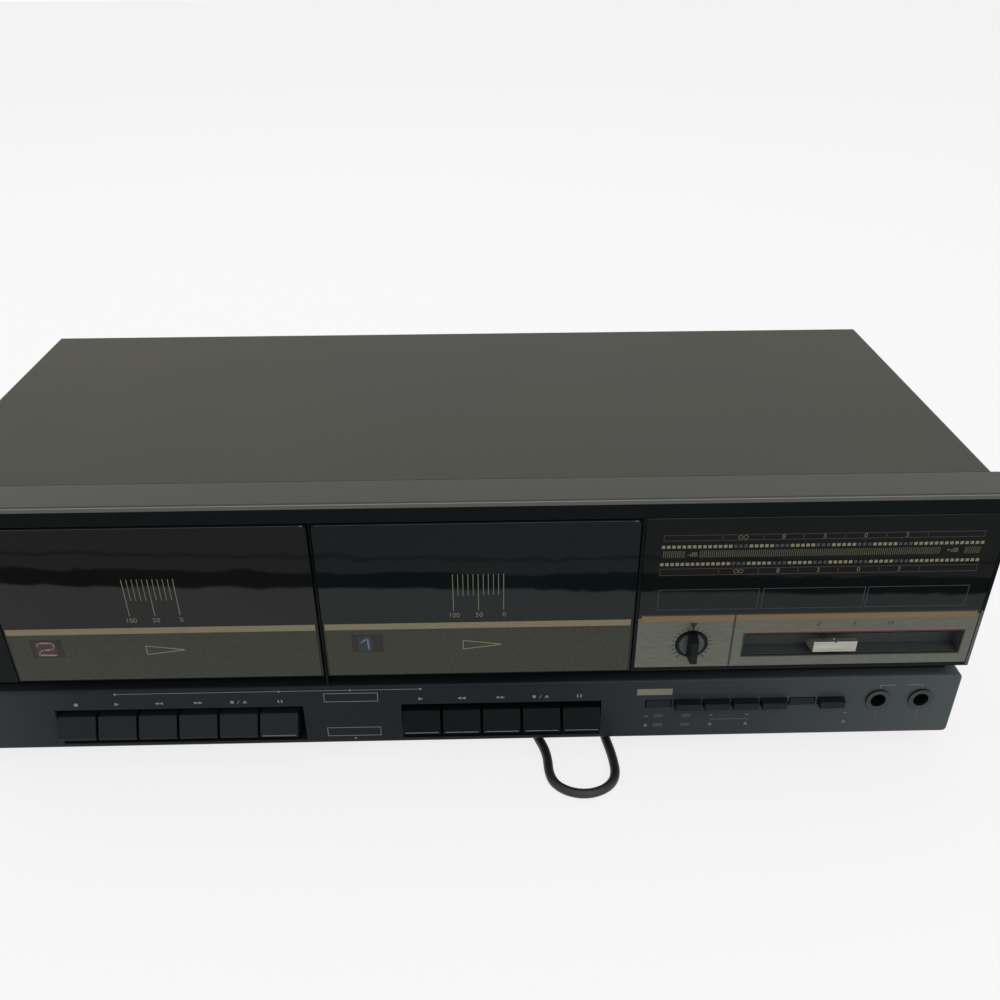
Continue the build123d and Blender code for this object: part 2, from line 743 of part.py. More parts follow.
# Tape mechanism frames, one behind each door
bush_radius = 3.5
bush_reach = (0.3, 0.4)
bush_front = plate_depth - bush_reach[0]
bush_back = plate_depth + plate_sheet + bush_reach[1]
rear_plate_sheet = 1.5
brace_radius = 2.5
cheek_above = 20.0
cheek_top = hinge_height + cheek_above
cheek_foot = 8.0
cheek_foot_length = 6.0
guide_pin_radius = 1.5
guide_pin_reach = 0.8
arm_pin_reach = 0.6
guide_xs = (-22.0, 12.5)
guide_rise = 8.0
guide_height = plate_bottom + guide_rise
head_travel = 5.0
head_plate_setoff = 2.0
head_plate_front = plate_depth - head_plate_setoff
head_plate_sheet = 1.2
arm_setoff = 1.8
arm_front = head_plate_front - arm_setoff
arm_pivot_x = 40.0
arm_pivot_rise = 4.5
arm_pivot_height = plate_bottom + arm_pivot_rise
arm_pin_radius = 1.5
flywheel_back = flywheel_front + flywheel_thickness
thrust_gap = 0.3
motor_boss_radius = 5.0
brace_rise = 10.0
brace_drops = {"1": 10.0, "2": 12.0}
brace_xs = {"1": (-52.0, 53.0), "2": (-6.5, 54.0)}
low_brace_xs = {"1": (-54.0, 54.0), "2": (54.0,)}
rear_margin = 4.0
rear_above = {"1": 6.0, "2": 4.0}
rear_inset = 1.0
rear_2_left = 12.0
shaft_reach = 0.5

for deck, centre in door_xs.items():
    with BuildPart() as deck_plate:
        plate_xs = (centre - plate_half, centre + plate_half)
        plate_depths = (plate_depth, plate_depth + plate_sheet)
        block(plate_xs, plate_depths, (plate_bottom, plate_top))
        for side in (-1, 1):
            outer = centre + side * plate_half
            cheek = sorted((outer - side * plate_sheet, outer))
            block(cheek, (cheek_front, cheek_back), (tray_sheet, cheek_top))
            block(cheek, (hinge_depth, cheek_front), (hinge_height - hinge_tab_radius,
                                                     hinge_height + hinge_tab_radius))
            bar_x(cheek, hinge_depth, hinge_height, hinge_tab_radius)
            pin_hole = hinge_pin_radius + running
            bar_x(cheek, hinge_depth, hinge_height, pin_hole, Mode.SUBTRACT)
            shaft_hole = key_shaft_radius + running
            bar_x(cheek, key_pivot_depth, key_pivot_height, shaft_hole, Mode.SUBTRACT)
            foot = sorted((outer, outer - side * cheek_foot))
            foot_depth = (cheek_back - cheek_foot_length, cheek_back)
            block(foot, foot_depth, (tray_sheet, tray_sheet + plate_sheet))
            reel_x = centre + side * hub_spacing / 2
            bar_y(reel_x, hub_height, bush_radius, (bush_front, bush_back))
            reel_bore = spindle_shaft_radius + running
            through = (bush_front, bush_back)
            bar_y(reel_x, hub_height, reel_bore, through, Mode.SUBTRACT)
        capstan_x = centre + capstan_offset
        bar_y(capstan_x, capstan_height, bush_radius, (bush_front, bush_back))
        capstan_bore = capstan_radius + running
        bar_y(capstan_x, capstan_height, capstan_bore, (bush_front, bush_back), Mode.SUBTRACT)
        for x in guide_xs:
            pin_depths = (head_plate_front - guide_pin_reach, plate_depth)
            bar_y(centre + x, guide_height, guide_pin_radius, pin_depths)
        arm_pin = (arm_front - arm_pin_reach, plate_depth)
        bar_y(centre + arm_pivot_x, arm_pivot_height, arm_pin_radius, arm_pin)
        shaft_xs = (plate_xs[0] - shaft_reach, plate_xs[1] + shaft_reach)
        bar_x(shaft_xs, key_pivot_depth, key_pivot_height, key_shaft_radius)
        rear_left = plate_half - rear_inset if deck == "1" else rear_2_left
        rear_xs = (centre - rear_left, centre + plate_half - rear_inset)
        rear_depths = (rear_plate_depth, rear_plate_depth + rear_plate_sheet)
        brace_top = plate_top - brace_drops[deck]
        block(rear_xs, rear_depths, (plate_bottom + rear_margin, brace_top + rear_above[deck]))
        brace = (plate_depth + plate_sheet, rear_plate_depth)
        for x in brace_xs[deck]:
            bar_y(centre + x, brace_top, brace_radius, brace)
        for x in low_brace_xs[deck]:
            bar_y(centre + x, plate_bottom + brace_rise, brace_radius, brace)
        if deck == "1":
            bar_y(motor_x, motor_height, motor_boss_radius + slip, rear_depths, Mode.SUBTRACT)
    write(deck_plate, f"deck_plate_{deck}")

# Motor: round can with a front boss that seats in the rear plate
motor_front = rear_plate_depth + rear_plate_sheet
motor_shaft_radius = 1.0
motor_bore_depth = 8.0
motor_round = 1.5
with BuildPart() as motor:
    bar_y(motor_x, motor_height, motor_radius, (motor_front, motor_front + motor_length))
    fillet(motor.edges().filter_by(GeomType.CIRCLE), radius=motor_round)
    bar_y(motor_x, motor_height, motor_boss_radius, (rear_plate_depth, motor_front))
    motor_bore = (rear_plate_depth, motor_front + motor_bore_depth)
    bar_y(motor_x, motor_height, motor_shaft_radius + running, motor_bore, Mode.SUBTRACT)
write(motor, "motor")

# Motor pulley on its shaft
pulley_front = flywheel_front + (flywheel_thickness - pulley_width) / 2
shaft_front = 1.0
shaft_end_gap = 1.0
with BuildPart() as motor_pulley:
    pulley_depths = (pulley_front, pulley_front + pulley_width)
    bar_y(motor_x, motor_height, pulley_radius, pulley_depths)
    shaft = (pulley_front - shaft_front, motor_bore[1] - shaft_end_gap)
    bar_y(motor_x, motor_height, motor_shaft_radius, shaft)
write(motor_pulley, "motor_pulley")

# Flywheels with capstan and drive hub
hub_front = bush_back + thrust_gap
capstan_setback = 3.1
capstan_tip = pocket_front + capstan_setback
rear_pivot = rear_plate_depth - thrust_gap
rim_recess = 2.0
rim_width = 5.0
flywheel_boss = 4.0
for deck, centre in door_xs.items():
    with BuildPart() as flywheel:
        x = centre + capstan_offset
        bar_y(x, capstan_height, flywheel_radius, (flywheel_front, flywheel_back))
        dish = (flywheel_back - rim_recess, flywheel_back)
        bar_y(x, capstan_height, flywheel_radius - rim_width, dish, Mode.SUBTRACT)
        bar_y(x, capstan_height, hub_wheel_radius, (hub_front, flywheel_front))
        bar_y(x, capstan_height, flywheel_boss, dish)
        bar_y(x, capstan_height, capstan_radius, (capstan_tip, rear_pivot))
    write(flywheel, f"flywheel_{deck}")

# Drive belt round both flywheels and the pulley
wheel_places = [
    (door_2_x + capstan_offset, capstan_height, flywheel_radius),
    (motor_x, motor_height, pulley_radius),
    (door_1_x + capstan_offset, capstan_height, flywheel_radius),
]
belt_front = flywheel_front + (flywheel_thickness - belt_width) / 2


def belt_outline(extra):
    """Return the tangent points of a belt that clears each wheel by a distance."""
    points = []
    for i, (x0, h0, r0) in enumerate(wheel_places):
        x1, h1, r1 = wheel_places[(i + 1) % len(wheel_places)]
        run = math.hypot(x1 - x0, h1 - h0)
        lean = math.atan2(h1 - h0, x1 - x0) + math.pi / 2
        lean -= math.asin((r0 - r1) / run)
        for x, h, r in ((x0, h0, r0 + extra), (x1, h1, r1 + extra)):
            points.append((x + r * math.cos(lean), at_height(h + r * math.sin(lean))))
    return points


def belt_face(extra):
    """Return the filled outline of the belt at a distance from its wheels."""
    points = belt_outline(extra)
    with BuildSketch(front_plane(belt_front)) as filled:
        Polygon(*points, align=None)
        for x, height, radius in wheel_places:
            with Locations((x, at_height(height))):
                Circle(radius + extra)
    return filled.sketch


with BuildPart() as drive_belt:
    extrude(belt_face(belt_gap + belt_thickness), amount=-belt_width)
    extrude(belt_face(belt_gap), amount=-belt_width, mode=Mode.SUBTRACT)
write(drive_belt, "drive_belt")

# Reel spindles: splined hub, reel table, shaft and rear wheel
table_back = bush_front - thrust_gap
table_thickness = 2.0
hub_setback = 2.6
hub_tip = pocket_front + hub_setback
spline_radius = 0.9
spline_depth = 1.4
spline_setback = 1.5
spline_count = 6
wheel_front = bush_back + thrust_gap
wheel_thickness = 3.0
for deck, centre in door_xs.items():
    for name, side, wheel in (("supply", -1, supply_wheel_radius), ("takeup", 1, takeup_wheel_radius)):
        with BuildPart() as spindle:
            x = centre + side * hub_spacing / 2
            bar_y(x, hub_height, reel_table_radius, (table_back - table_thickness, table_back))
            core_radius = spindle_hub_radius - spline_depth
            bar_y(x, hub_height, core_radius, (hub_tip, table_back))
            for i in range(spline_count):
                angle = math.radians(360 * i / spline_count)
                tooth_x = x + core_radius * math.cos(angle)
                tooth_height = hub_height + core_radius * math.sin(angle)
                bar_y(tooth_x, tooth_height, spline_radius, (hub_tip + spline_setback, table_back))
            bar_y(x, hub_height, spindle_shaft_radius, (table_back, wheel_front + wheel_thickness))
            bar_y(x, hub_height, wheel, (wheel_front, wheel_front + wheel_thickness))
        write(spindle, f"{name}_spindle_{deck}")

# Head plates: sliding plate with the heads, guided by two pins
head_half = 30.0
head_shelf = 1.0
head_rise = 14.0
head_step = 2.0
head_step_x = 16.0
head_low = plate_bottom - head_shelf
head_high = plate_bottom + head_rise
head_width = 14.0
head_front = 8.2
head_block_rise = 2.5
head_block_height = 8.1
head_block_low = plate_bottom + head_block_rise
head_block_high = head_block_low + head_block_height
erase_width = 10.0
erase_x = -20.0
erase_setback = 2.0
slot_gap = running
slot_margin = 0.3
for deck, centre in door_xs.items():
    with BuildPart() as head_plate:
        plate_back = head_plate_front + head_plate_sheet
        both = (head_plate_front, plate_back)
        step_x = centre + head_step_x
        block((centre - head_half, step_x), both, (head_low, head_high))
        block((step_x, centre + head_half), both, (head_low, head_high - head_step))
        for x in guide_xs:
            slot_half = guide_pin_radius + slot_gap
            slot_x = (centre + x - slot_half, centre + x + slot_half)
            low = guide_height - head_travel - guide_pin_radius - slot_margin
            block(slot_x, both, (low, guide_height), Mode.SUBTRACT)
            bar_y(centre + x, guide_height, slot_half, both, Mode.SUBTRACT)
        head_levels = (head_block_low, head_block_high)
        head_xs = (centre - head_width / 2, centre + head_width / 2)
        block(head_xs, (head_front, head_plate_front), head_levels)
        erase_xs = (centre + erase_x, centre + erase_x + erase_width)
        block(erase_xs, (head_front + erase_setback, head_plate_front), head_levels)
    write(head_plate, f"head_plate_{deck}")

# Pinch roller arms
roller_radius = 5.0
roller_front = 8.2
roller_width = 6.4
roller_drop = 10.8
roller_rest_height = capstan_height - roller_drop
roller_axle = 1.2
roller_axle_reach = 0.6
arm_sheet = 1.2
pinch_width = 5.0
pinch_end = 3.2
for deck, centre in door_xs.items():
    with BuildPart() as pinch_arm:
        pivot = (centre + arm_pivot_x, arm_pivot_height)
        roller = (centre + capstan_offset, roller_rest_height)
        arm_back = arm_front + arm_sheet
        with BuildSketch(front_plane(arm_front)) as arm_face:
            ends = [(pivot[0], at_height(pivot[1])), (roller[0], at_height(roller[1]))]
            with BuildLine():
                Line(*ends)
            trace(line_width=pinch_width)
            for end in ends:
                with Locations(end):
                    Circle(pinch_end)
        extrude(arm_face.sketch, amount=-arm_sheet)
        bar_y(*pivot, arm_pin_radius + running, (arm_front, arm_back), Mode.SUBTRACT)
        bar_y(*roller, roller_axle, (roller_front - roller_axle_reach, arm_front))
        bar_y(*roller, roller_radius, (roller_front, roller_front + roller_width))
    write(pinch_arm, f"pinch_arm_{deck}")

# Doors: frame with hinge lugs and pins, window, and the pocket for the tape
lug_width = 3.0
pin_reach = 0.6
window_gap_side = 0.1
window_half = door_width / 2 - door_border
pocket_drop = 2.3
pocket_top = tape_low + tape_height - pocket_drop
for deck, centre in door_xs.items():
    with BuildPart() as door_frame:
        frame_xs = (centre - door_width / 2, centre + door_width / 2)
        block(frame_xs, (0, door_panel), (door_bottom, door_top))
        glass = (window_low, door_top - door_border)
        seat_xs = (centre - window_half, centre + window_half)
        block(seat_xs, (0, window_thickness), glass, Mode.SUBTRACT)
        view_xs = (seat_xs[0] + window_lip, seat_xs[1] - window_lip)
        view = (glass[0] + window_lip, glass[1] - window_lip)
        block(view_xs, (0, door_panel), view, Mode.SUBTRACT)
        for side in (-1, 1):
            cheek_inner = centre + side * (plate_half - plate_sheet)
            lug_outer = cheek_inner - side * moving_gap
            lug = sorted((lug_outer - side * lug_width, lug_outer))
            block(lug, (door_panel, hinge_depth), (hinge_height - hinge_tab_radius,
                                                  hinge_height + hinge_tab_radius))
            bar_x(lug, hinge_depth, hinge_height, hinge_tab_radius)
            pin_end = centre + side * (plate_half + pin_reach)
            bar_x(sorted((lug_outer, pin_end)), hinge_depth, hinge_height, hinge_pin_radius)
    write(door_frame, f"door_frame_{deck}")

    with BuildPart() as door_window:
        pane_xs = (seat_xs[0] + window_gap_side, seat_xs[1] - window_gap_side)
        pane = (glass[0] + window_gap_side, glass[1] - window_gap_side)
        block(pane_xs, (0, window_thickness), pane)
        fillet(door_window.edges().group_by(Axis.Y)[0], radius=window_fillet)
    write(door_window, f"door_window_{deck}")

    with BuildPart() as holder:
        outer_half = pocket_half + pocket_wall
        low = tape_low - ledge_thickness
        web_top = window_low
        block((centre - outer_half, centre + outer_half), (door_panel, pocket_front), (low, web_top))
        back_flange = pocket_back + pocket_web
        for side in (-1, 1):
            wall = sorted((centre + side * pocket_half, centre + side * outer_half))
            block(wall, (door_panel, back_flange), (low, pocket_top))
            ledge = sorted((centre + side * (outer_half - ledge_reach), centre + side * outer_half))
            block(ledge, (door_panel, back_flange), (low, tape_low))
            catch = sorted((centre + side * (outer_half - flange_reach), centre + side * outer_half))
            block(catch, (pocket_back, back_flange), (low, pocket_top))
    write(holder, f"cassette_holder_{deck}")

# Keys: sloping cap, arm and pivot boss
arm_width = 5.0
arm_low = 11.0
key_fillet = 0.5
key_names = {
    "1": ("play", "rewind", "forward", "stop", "pause"),
    "2": ("record", "play", "rewind", "forward", "stop", "pause"),
}
boss_top_trim = 0.6
boss_back_trim = 0.5
cap_profile = [
    (key_back, key_lip_low),
    (-key_reach, key_lip_low),
    (-key_reach, key_lip_high),
    (0, key_top),
    (key_back, key_top),
]
arm_profile = [
    (key_back, arm_low),
    (key_back, key_top),
    (key_pivot_depth - key_boss_radius / 2, key_pivot_height + key_boss_radius - boss_top_trim),
    (key_pivot_depth + key_boss_radius - boss_back_trim, key_pivot_height - key_boss_radius / 2),
]
for deck, lefts in key_rows.items():
    for name, left in zip(key_names[deck], lefts):
        with BuildPart() as key:
            side_profile(cap_profile, (left, left + key_width))
            front_edges = key.edges().filter_by(Axis.X).group_by(Axis.Y)[0]
            fillet(front_edges, radius=key_fillet)
            middle = left + key_width / 2
            arm_xs = (middle - arm_width / 2, middle + arm_width / 2)
            side_profile(arm_profile, arm_xs)
            bar_x(arm_xs, key_pivot_depth, key_pivot_height, key_boss_radius)
            bore = key_shaft_radius + running
            bar_x(arm_xs, key_pivot_depth, key_pivot_height, bore, Mode.SUBTRACT)
        write(key, f"{name}_key_{deck}")

# Feet and screws
foot_recess = 2.5
foot_recess_radius = 3.5
foot_round = 1.2
screw_head_radius = 3.4
screw_head = 2.0
screw_length = 6.0
screw_slot_half = 2.0
foot_screw_gap = 0.5
foot_screw_reach = 1.5
board_screw_radius = 2.6
board_screw_head = 1.6
board_screw_gap = 0.1
with BuildPart() as feet:
    for x in foot_xs:
        for depth in foot_depths:
            bar_z(x, depth, foot_radius, (-foot_height, 0))
            bar_z(x, depth, foot_recess_radius, (-foot_height, -foot_recess), Mode.SUBTRACT)
            bar_z(x, depth, screw_hole_radius, (-foot_recess, 0), Mode.SUBTRACT)
    lowest = feet.edges().filter_by(GeomType.CIRCLE).group_by(Axis.Z)[0]
    outer_rims = lowest.filter_by(lambda edge: edge.radius > foot_recess_radius + slip)
    fillet(outer_rims, radius=foot_round)
write(feet, "feet")

slot_width = 0.9
slot_depth = 0.9
with BuildPart() as screws:
    for side in (-1, 1):
        for depth in side_screw_depths:
            face = side * cover_half
            head_xs = sorted((face, face + side * screw_head))
            bar_x(head_xs, depth, side_screw_height, screw_head_radius)
            shank_xs = sorted((face - side * screw_length, face))
            bar_x(shank_xs, depth, side_screw_height, screw_radius)
            tip = face + side * screw_head
            slot_xs = sorted((tip - side * slot_depth, tip))
            cross = (side_screw_height - screw_slot_half, side_screw_height + screw_slot_half)
            block(slot_xs, (depth - slot_width / 2, depth + slot_width / 2), cross, Mode.SUBTRACT)
    for x in rear_screw_xs:
        bar_y(x, rear_screw_height, screw_head_radius, (cover_depth, cover_depth + screw_head))
        bar_y(x, rear_screw_height, screw_radius, (cover_depth - screw_length, cover_depth))
        slot_depths = (cover_depth + screw_head - slot_depth, cover_depth + screw_head)
        cross = (rear_screw_height - screw_slot_half, rear_screw_height + screw_slot_half)
        block((x - slot_width / 2, x + slot_width / 2), slot_depths, cross, Mode.SUBTRACT)
    for x in foot_xs:
        for depth in foot_depths:
            head_radius = foot_recess_radius - foot_screw_gap
            bar_z(x, depth, head_radius, (-foot_recess - screw_head, -foot_recess))
            bar_z(x, depth, screw_radius, (-foot_recess, tray_sheet + foot_screw_reach))
    for x, depth in board_mounts:
        bar_z(x, depth, board_screw_radius, (board_top, board_top + board_screw_head))
        board_shank = (board_top - screw_length, board_top)
        bar_z(x, depth, standoff_hole - board_screw_gap, board_shank)
write(screws, "screws")

# Strain relief: flanged bush in the rear panel with a tapered sleeve
relief_flange = 7.0
relief_root = 4.4
relief_tip = 3.1
relief_inner = 3.0
relief_washer = 1.5
relief_rim = 2.0
relief_end = rear_panel_back + relief_length
with BuildPart() as strain_relief:
    inner_face = rear_panel_front - relief_inner
    bar_y(cord_exit_x, cord_exit_height, relief_hole_radius - slip, (inner_face, rear_panel_back))
    flange_depths = (rear_panel_back, rear_panel_back + relief_rim)
    bar_y(cord_exit_x, cord_exit_height, relief_flange, flange_depths)
    bar_y(cord_exit_x, cord_exit_height, relief_flange, (inner_face - relief_washer, inner_face))
    with BuildSketch(front_plane(flange_depths[1])) as sleeve_root:
        with Locations((cord_exit_x, at_height(cord_exit_height))):
            Circle(relief_root)
    with BuildSketch(front_plane(relief_end)) as sleeve_tip:
        with Locations((cord_exit_x, at_height(cord_exit_height))):
            Circle(relief_tip)
    loft(sections=[sleeve_root.sketch.face(), sleeve_tip.sketch.face()])
write(strain_relief, "strain_relief")

# Mains lead: points chosen by hand, as X, depth behind the face and height over the floor
lay = 2.2
cord_points = [
    (100.0, 215.6, 32.0),
    (100.0, 231.0, 32.0),
    (100.0, 249.0, 27.0),
    (99.5, 265.5, 18.5),
    (92.6, 277.3, 11.5),
    (81.5, 281.0, 6.0),
    (70.4, 277.3, 2.8),
    (63.5, 267.8, lay),
    (62.6, 252.0, lay),
    (64.0, 228.0, lay),
    (61.5, 190.0, lay),
    (63.5, 146.0, lay),
    (60.5, 102.0, lay),
    (62.5, 60.0, lay),
    (61.5, 29.0, lay),
    (63.4, 9.0, lay),
    (65.6, -5.5, lay),
    (65.8, -18.7, lay),
    (60.3, -26.3, lay),
    (51.3, -29.2, lay),
    (42.3, -26.3, lay),
    (36.8, -18.7, lay),
    (36.9, -2.0, lay),
    (31.8, 12.0, lay),
    (29.5, 34.0, lay),
    (31.0, 66.0, lay),
    (28.5, 108.0, lay),
    (31.0, 150.0, lay),
    (27.0, 190.0, lay),
    (24.0, 217.0, lay),
    (24.0, 232.0, lay),
]
run_share = 0.45


def corner_radius(before, corner, after):
    """Return the arc radius at a corner of the lead's route."""
    first = corner - before
    second = after - corner
    half_turn = math.radians(first.get_angle(second)) / 2
    return run_share * min(first.length, second.length) / math.tan(half_turn)


route_points = [Vector(x, at_depth(depth), z) for x, depth, z in cord_points]
route_points[0] = Vector(cord_exit_x, at_depth(relief_end), at_height(cord_exit_height))
route_radii = [
    corner_radius(*route_points[i - 1 : i + 2]) for i in range(1, len(route_points) - 1)
]
with BuildPart() as mains_cord:
    with BuildLine() as cord_route:
        FilletPolyline(*route_points, radius=route_radii)
    with BuildSketch(Plane(origin=route_points[0], z_dir=(0, 1, 0))) as cord_section:
        Circle(cord_radius)
    sweep(sections=cord_section.sketch, path=cord_route.line)
cord_wire = cord_route.wires()[0]
write(mains_cord, "mains_cord")
section_area = math.pi * cord_radius**2
expected_volume = section_area * cord_wire.length
print("cord radii", [round(radius, 1) for radius in route_radii])
print("cord length", round(cord_wire.length, 1))
print("cord volume ratio", round(mains_cord.part.volume / expected_volume, 4))

# Put-away coil: half turns that spiral in, climb one layer and spiral out again
coil_outer = 33.0
coil_gap = 0.55
coil_pitch = 2 * cord_radius + coil_gap
coil_halves = 8
coil_lead = 2 * cord_radius
coil_tail = 32.0
coil_start = route_points[-1]
coil_y = coil_start.Y + coil_lead
coil_levels = (coil_start.Z, coil_start.Z + coil_pitch)


def coil_arcs():
    """Return start, middle and end of each half turn of the coil."""
    arcs = []
    side = 1
    x = coil_start.X
    radii = [coil_outer - i * coil_pitch / 2 for i in range(coil_halves + 1)]
    steps = [(radius, 0, 0) for radius in radii[:-1]]
    steps += [(radii[-1], 0, 1)]
    steps += [(radius, 1, 1) for radius in reversed(radii[1:-1])]
    for radius, level, next_level in steps:
        start_z = coil_levels[level]
        end_z = coil_levels[next_level]
        rise = (end_z - start_z) / 2
        bulge = math.hypot(radius, rise)
        start = Vector(x, coil_y, start_z)
        middle = Vector(x - side * radius, coil_y + side * bulge, start_z + rise)
        end = Vector(x - side * 2 * radius, coil_y, end_z)
        arcs.append((start, middle, end))
        x = end.X
        side = -side
    return arcs


half_turns = coil_arcs()
coil_end = half_turns[-1][2]
coil_direction = 1 if len(half_turns) % 2 == 0 else -1
tail_end = coil_end + Vector(0, coil_direction * coil_tail, 0)
with BuildPart() as cord_coil:
    with BuildLine() as coil_path:
        Line(coil_start, half_turns[0][0])
        for start, middle, end in half_turns:
            ThreePointArc(start, middle, end)
        Line(coil_end, tail_end)
    with BuildSketch(Plane(origin=coil_start, z_dir=(0, 1, 0))) as coil_section:
        Circle(cord_radius)
    sweep(sections=coil_section.sketch, path=coil_path.line)
coil_wire = coil_path.wires()[0]
write(cord_coil, "cord_coil")


def least_gap(path):
    """Return the least clear distance between turns of a tube, measured on points."""
    count = int(path.length)
    points = [path @ (i / count) for i in range(count + 1)]
    apart = int(4 * cord_radius * math.pi / 2)
    least = math.inf
    for i, point in enumerate(points):
        for other in points[i + apart :]:
            least = min(least, (point - other).length)
    return least - 2 * cord_radius


print("coil length", round(coil_wire.length, 1))
print("coil least gap", round(least_gap(coil_wire), 2))
print("lead length", round(cord_wire.length + coil_wire.length, 1))

# Mains plug with two flat blades, lying behind the coil
plug_length = 26.0
plug_width = 24.0
plug_rounding = 3.0
blade_length = 17.0
blade_pitch = 12.7
blade_width = 6.3
blade_thickness = 1.5
floor_gap = 0.1
with BuildPart() as mains_plug:
    plug_half = tail_end.Z - floor_gap
    plug_middle = tail_end + Vector(0, plug_length / 2, 0)
    with Locations(plug_middle):
        Box(plug_width, plug_length, 2 * plug_half)
    fillet(mains_plug.edges().filter_by(Axis.Y), radius=plug_rounding)
    blade_middle = tail_end + Vector(0, plug_length + blade_length / 2, 0)
    for side in (-1, 1):
        with Locations(blade_middle + Vector(side * blade_pitch / 2, 0, 0)):
            Box(blade_thickness, blade_length, blade_width)
write(mains_plug, "mains_plug")
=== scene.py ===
# %% [markdown]
# # A double cassette deck
# This is a full-size hi-fi deck with two doors, eleven piano keys, a row of buttons, a slider
# and a knob. The CAD model brings every part at its real size and place, so this lesson only
# dresses it: camera, light, mains lead, finishes and prints. The parts could be modelled again
# here, but two models drift apart, so their meshes stay as they are. Lengths are written in
# millimetres, because a maker thinks in them, and one helper turns them into metres.

# %% Load the model
import math

import bmesh
import bpy
from mathutils import Matrix, Vector


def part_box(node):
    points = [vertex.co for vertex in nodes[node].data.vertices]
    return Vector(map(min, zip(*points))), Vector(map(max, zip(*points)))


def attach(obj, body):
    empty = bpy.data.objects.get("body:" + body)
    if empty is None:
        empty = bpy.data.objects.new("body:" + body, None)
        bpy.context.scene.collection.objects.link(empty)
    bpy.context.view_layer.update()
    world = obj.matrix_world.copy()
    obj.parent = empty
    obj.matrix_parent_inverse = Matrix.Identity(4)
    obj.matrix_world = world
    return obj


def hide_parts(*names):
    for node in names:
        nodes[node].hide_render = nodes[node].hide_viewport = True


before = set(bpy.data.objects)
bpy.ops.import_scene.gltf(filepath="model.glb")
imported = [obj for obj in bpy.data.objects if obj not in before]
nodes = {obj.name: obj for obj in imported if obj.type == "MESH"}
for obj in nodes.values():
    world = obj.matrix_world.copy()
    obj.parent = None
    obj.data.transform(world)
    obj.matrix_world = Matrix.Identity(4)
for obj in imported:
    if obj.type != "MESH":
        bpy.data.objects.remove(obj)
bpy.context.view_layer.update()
scene = bpy.context.scene
face_y = -98.0
foot_height = 8.0


def place(x, depth, height):
    """Return a point in metres from X, depth behind the face and height over the case's floor."""
    return Vector((x, face_y + depth, foot_height + height)) / 1000


# %% [markdown]
# ## Camera
# The picture was taken from above and in front, with the optical axis below the middle of the
# frame. The camera could be tilted up to frame it so, but then upright edges would lean
# differently, so the lens is shifted instead. The turn is written as yaw, pitch and roll, as a
# tripod has them, and the three axes are built from those angles.

# %% Place the camera
yaw, pitch, roll = 0.0223, 0.5956, -0.0045
camera_stand = Vector((8.743, -436.554, 304.033)) / 1000
forward = Vector((
    math.sin(yaw) * math.cos(pitch),
    math.cos(yaw) * math.cos(pitch),
    -math.sin(pitch),
))
level_right = Vector((math.cos(yaw), -math.sin(yaw), 0))
level_up = level_right.cross(forward)
right = math.cos(roll) * level_right + math.sin(roll) * level_up
up = math.cos(roll) * level_up - math.sin(roll) * level_right
camera_data = bpy.data.cameras.new("tripod_camera")
camera_data.sensor_width = 36
camera_data.lens = 36.35
camera_data.shift_y = 0.1155
camera_data.clip_start = 0.01
camera = bpy.data.objects.new("tripod_camera", camera_data)
scene.collection.objects.link(camera)
turn = Matrix((right, up, -forward)).transposed().to_4x4()
camera.matrix_world = Matrix.Translation(camera_stand) @ turn
scene.camera = camera
print("camera at", [round(v, 3) for v in camera.matrix_world.translation])

# %% [markdown]
# ## Nodes in one call
# A material is a net of small nodes. Adding one always takes the same steps: make it, choose
# its mode, then set each input or join it to another node's output. These steps could be
# written out each time, but one helper does all three and keeps the finishes below short.


# %% Node helpers
def add_node(tree, kind, inputs=(), **modes):
    """Add a node; an input that is given a socket is joined to it, any other value is set."""
    node = tree.nodes.new(kind)
    for mode, choice in modes.items():
        setattr(node, mode, choice)
    for label, value in dict(inputs).items():
        if isinstance(value, bpy.types.NodeSocket):
            tree.links.new(value, node.inputs[label])
        else:
            node.inputs[label].default_value = value
    return node


def add_math(tree, operation, *terms):
    """Return the result of a math node for two or three terms."""
    return add_node(tree, "ShaderNodeMath", enumerate(terms), operation=operation).outputs[0]


def map_range(tree, value, **limits):
    """Return a value mapped from one range to another; limits not given are 0 and 1."""
    named = {label.replace("_", " ").title(): limit for label, limit in limits.items()}
    return add_node(tree, "ShaderNodeMapRange", {"Value": value, **named}).outputs["Result"]


def mix_colour(tree, share, first, second):
    """Return a mix of two colours, where the share is that of the second."""
    inputs = {"Factor": share, "A": first, "B": second}
    return add_node(tree, "ShaderNodeMix", inputs, data_type="RGBA").outputs["Result"]


def colour_ramp(tree, value, stops):
    """Return the colour that a ramp gives for a value; stops are places and colours."""
    ramp = add_node(tree, "ShaderNodeValToRGB", {"Fac": value})
    marks = ramp.color_ramp.elements
    marks.remove(marks[1])
    for i, (position, colour) in enumerate(stops):
        mark = marks[0] if i == 0 else marks.new(position)
        mark.position = position
        mark.color = colour
    return ramp.outputs["Color"]


def object_place(tree):
    """Return the place of a point on its object."""
    return add_node(tree, "ShaderNodeTexCoord").outputs["Object"]


def object_axes(tree):
    """Return the X, Y and Z of a point on its object, in metres."""
    return add_node(tree, "ShaderNodeSeparateXYZ", {0: object_place(tree)}).outputs


# %% [markdown]
# ## Colours
# Colours are easiest to read from a picture as numbers from 0 to 255, but shaders want them
# linear. They could be converted by hand, but this helper does it for all of them, so that
# each finish is written as it looks.


# %% Colour helpers
def shade(red, green, blue):
    """Return a linear colour from screen values of 0 to 255."""
    channels = []
    for value in (red, green, blue):
        value /= 255
        channels.append(value / 12.92 if value < 0.04045 else ((value + 0.055) / 1.055) ** 2.4)
    return (*channels, 1)


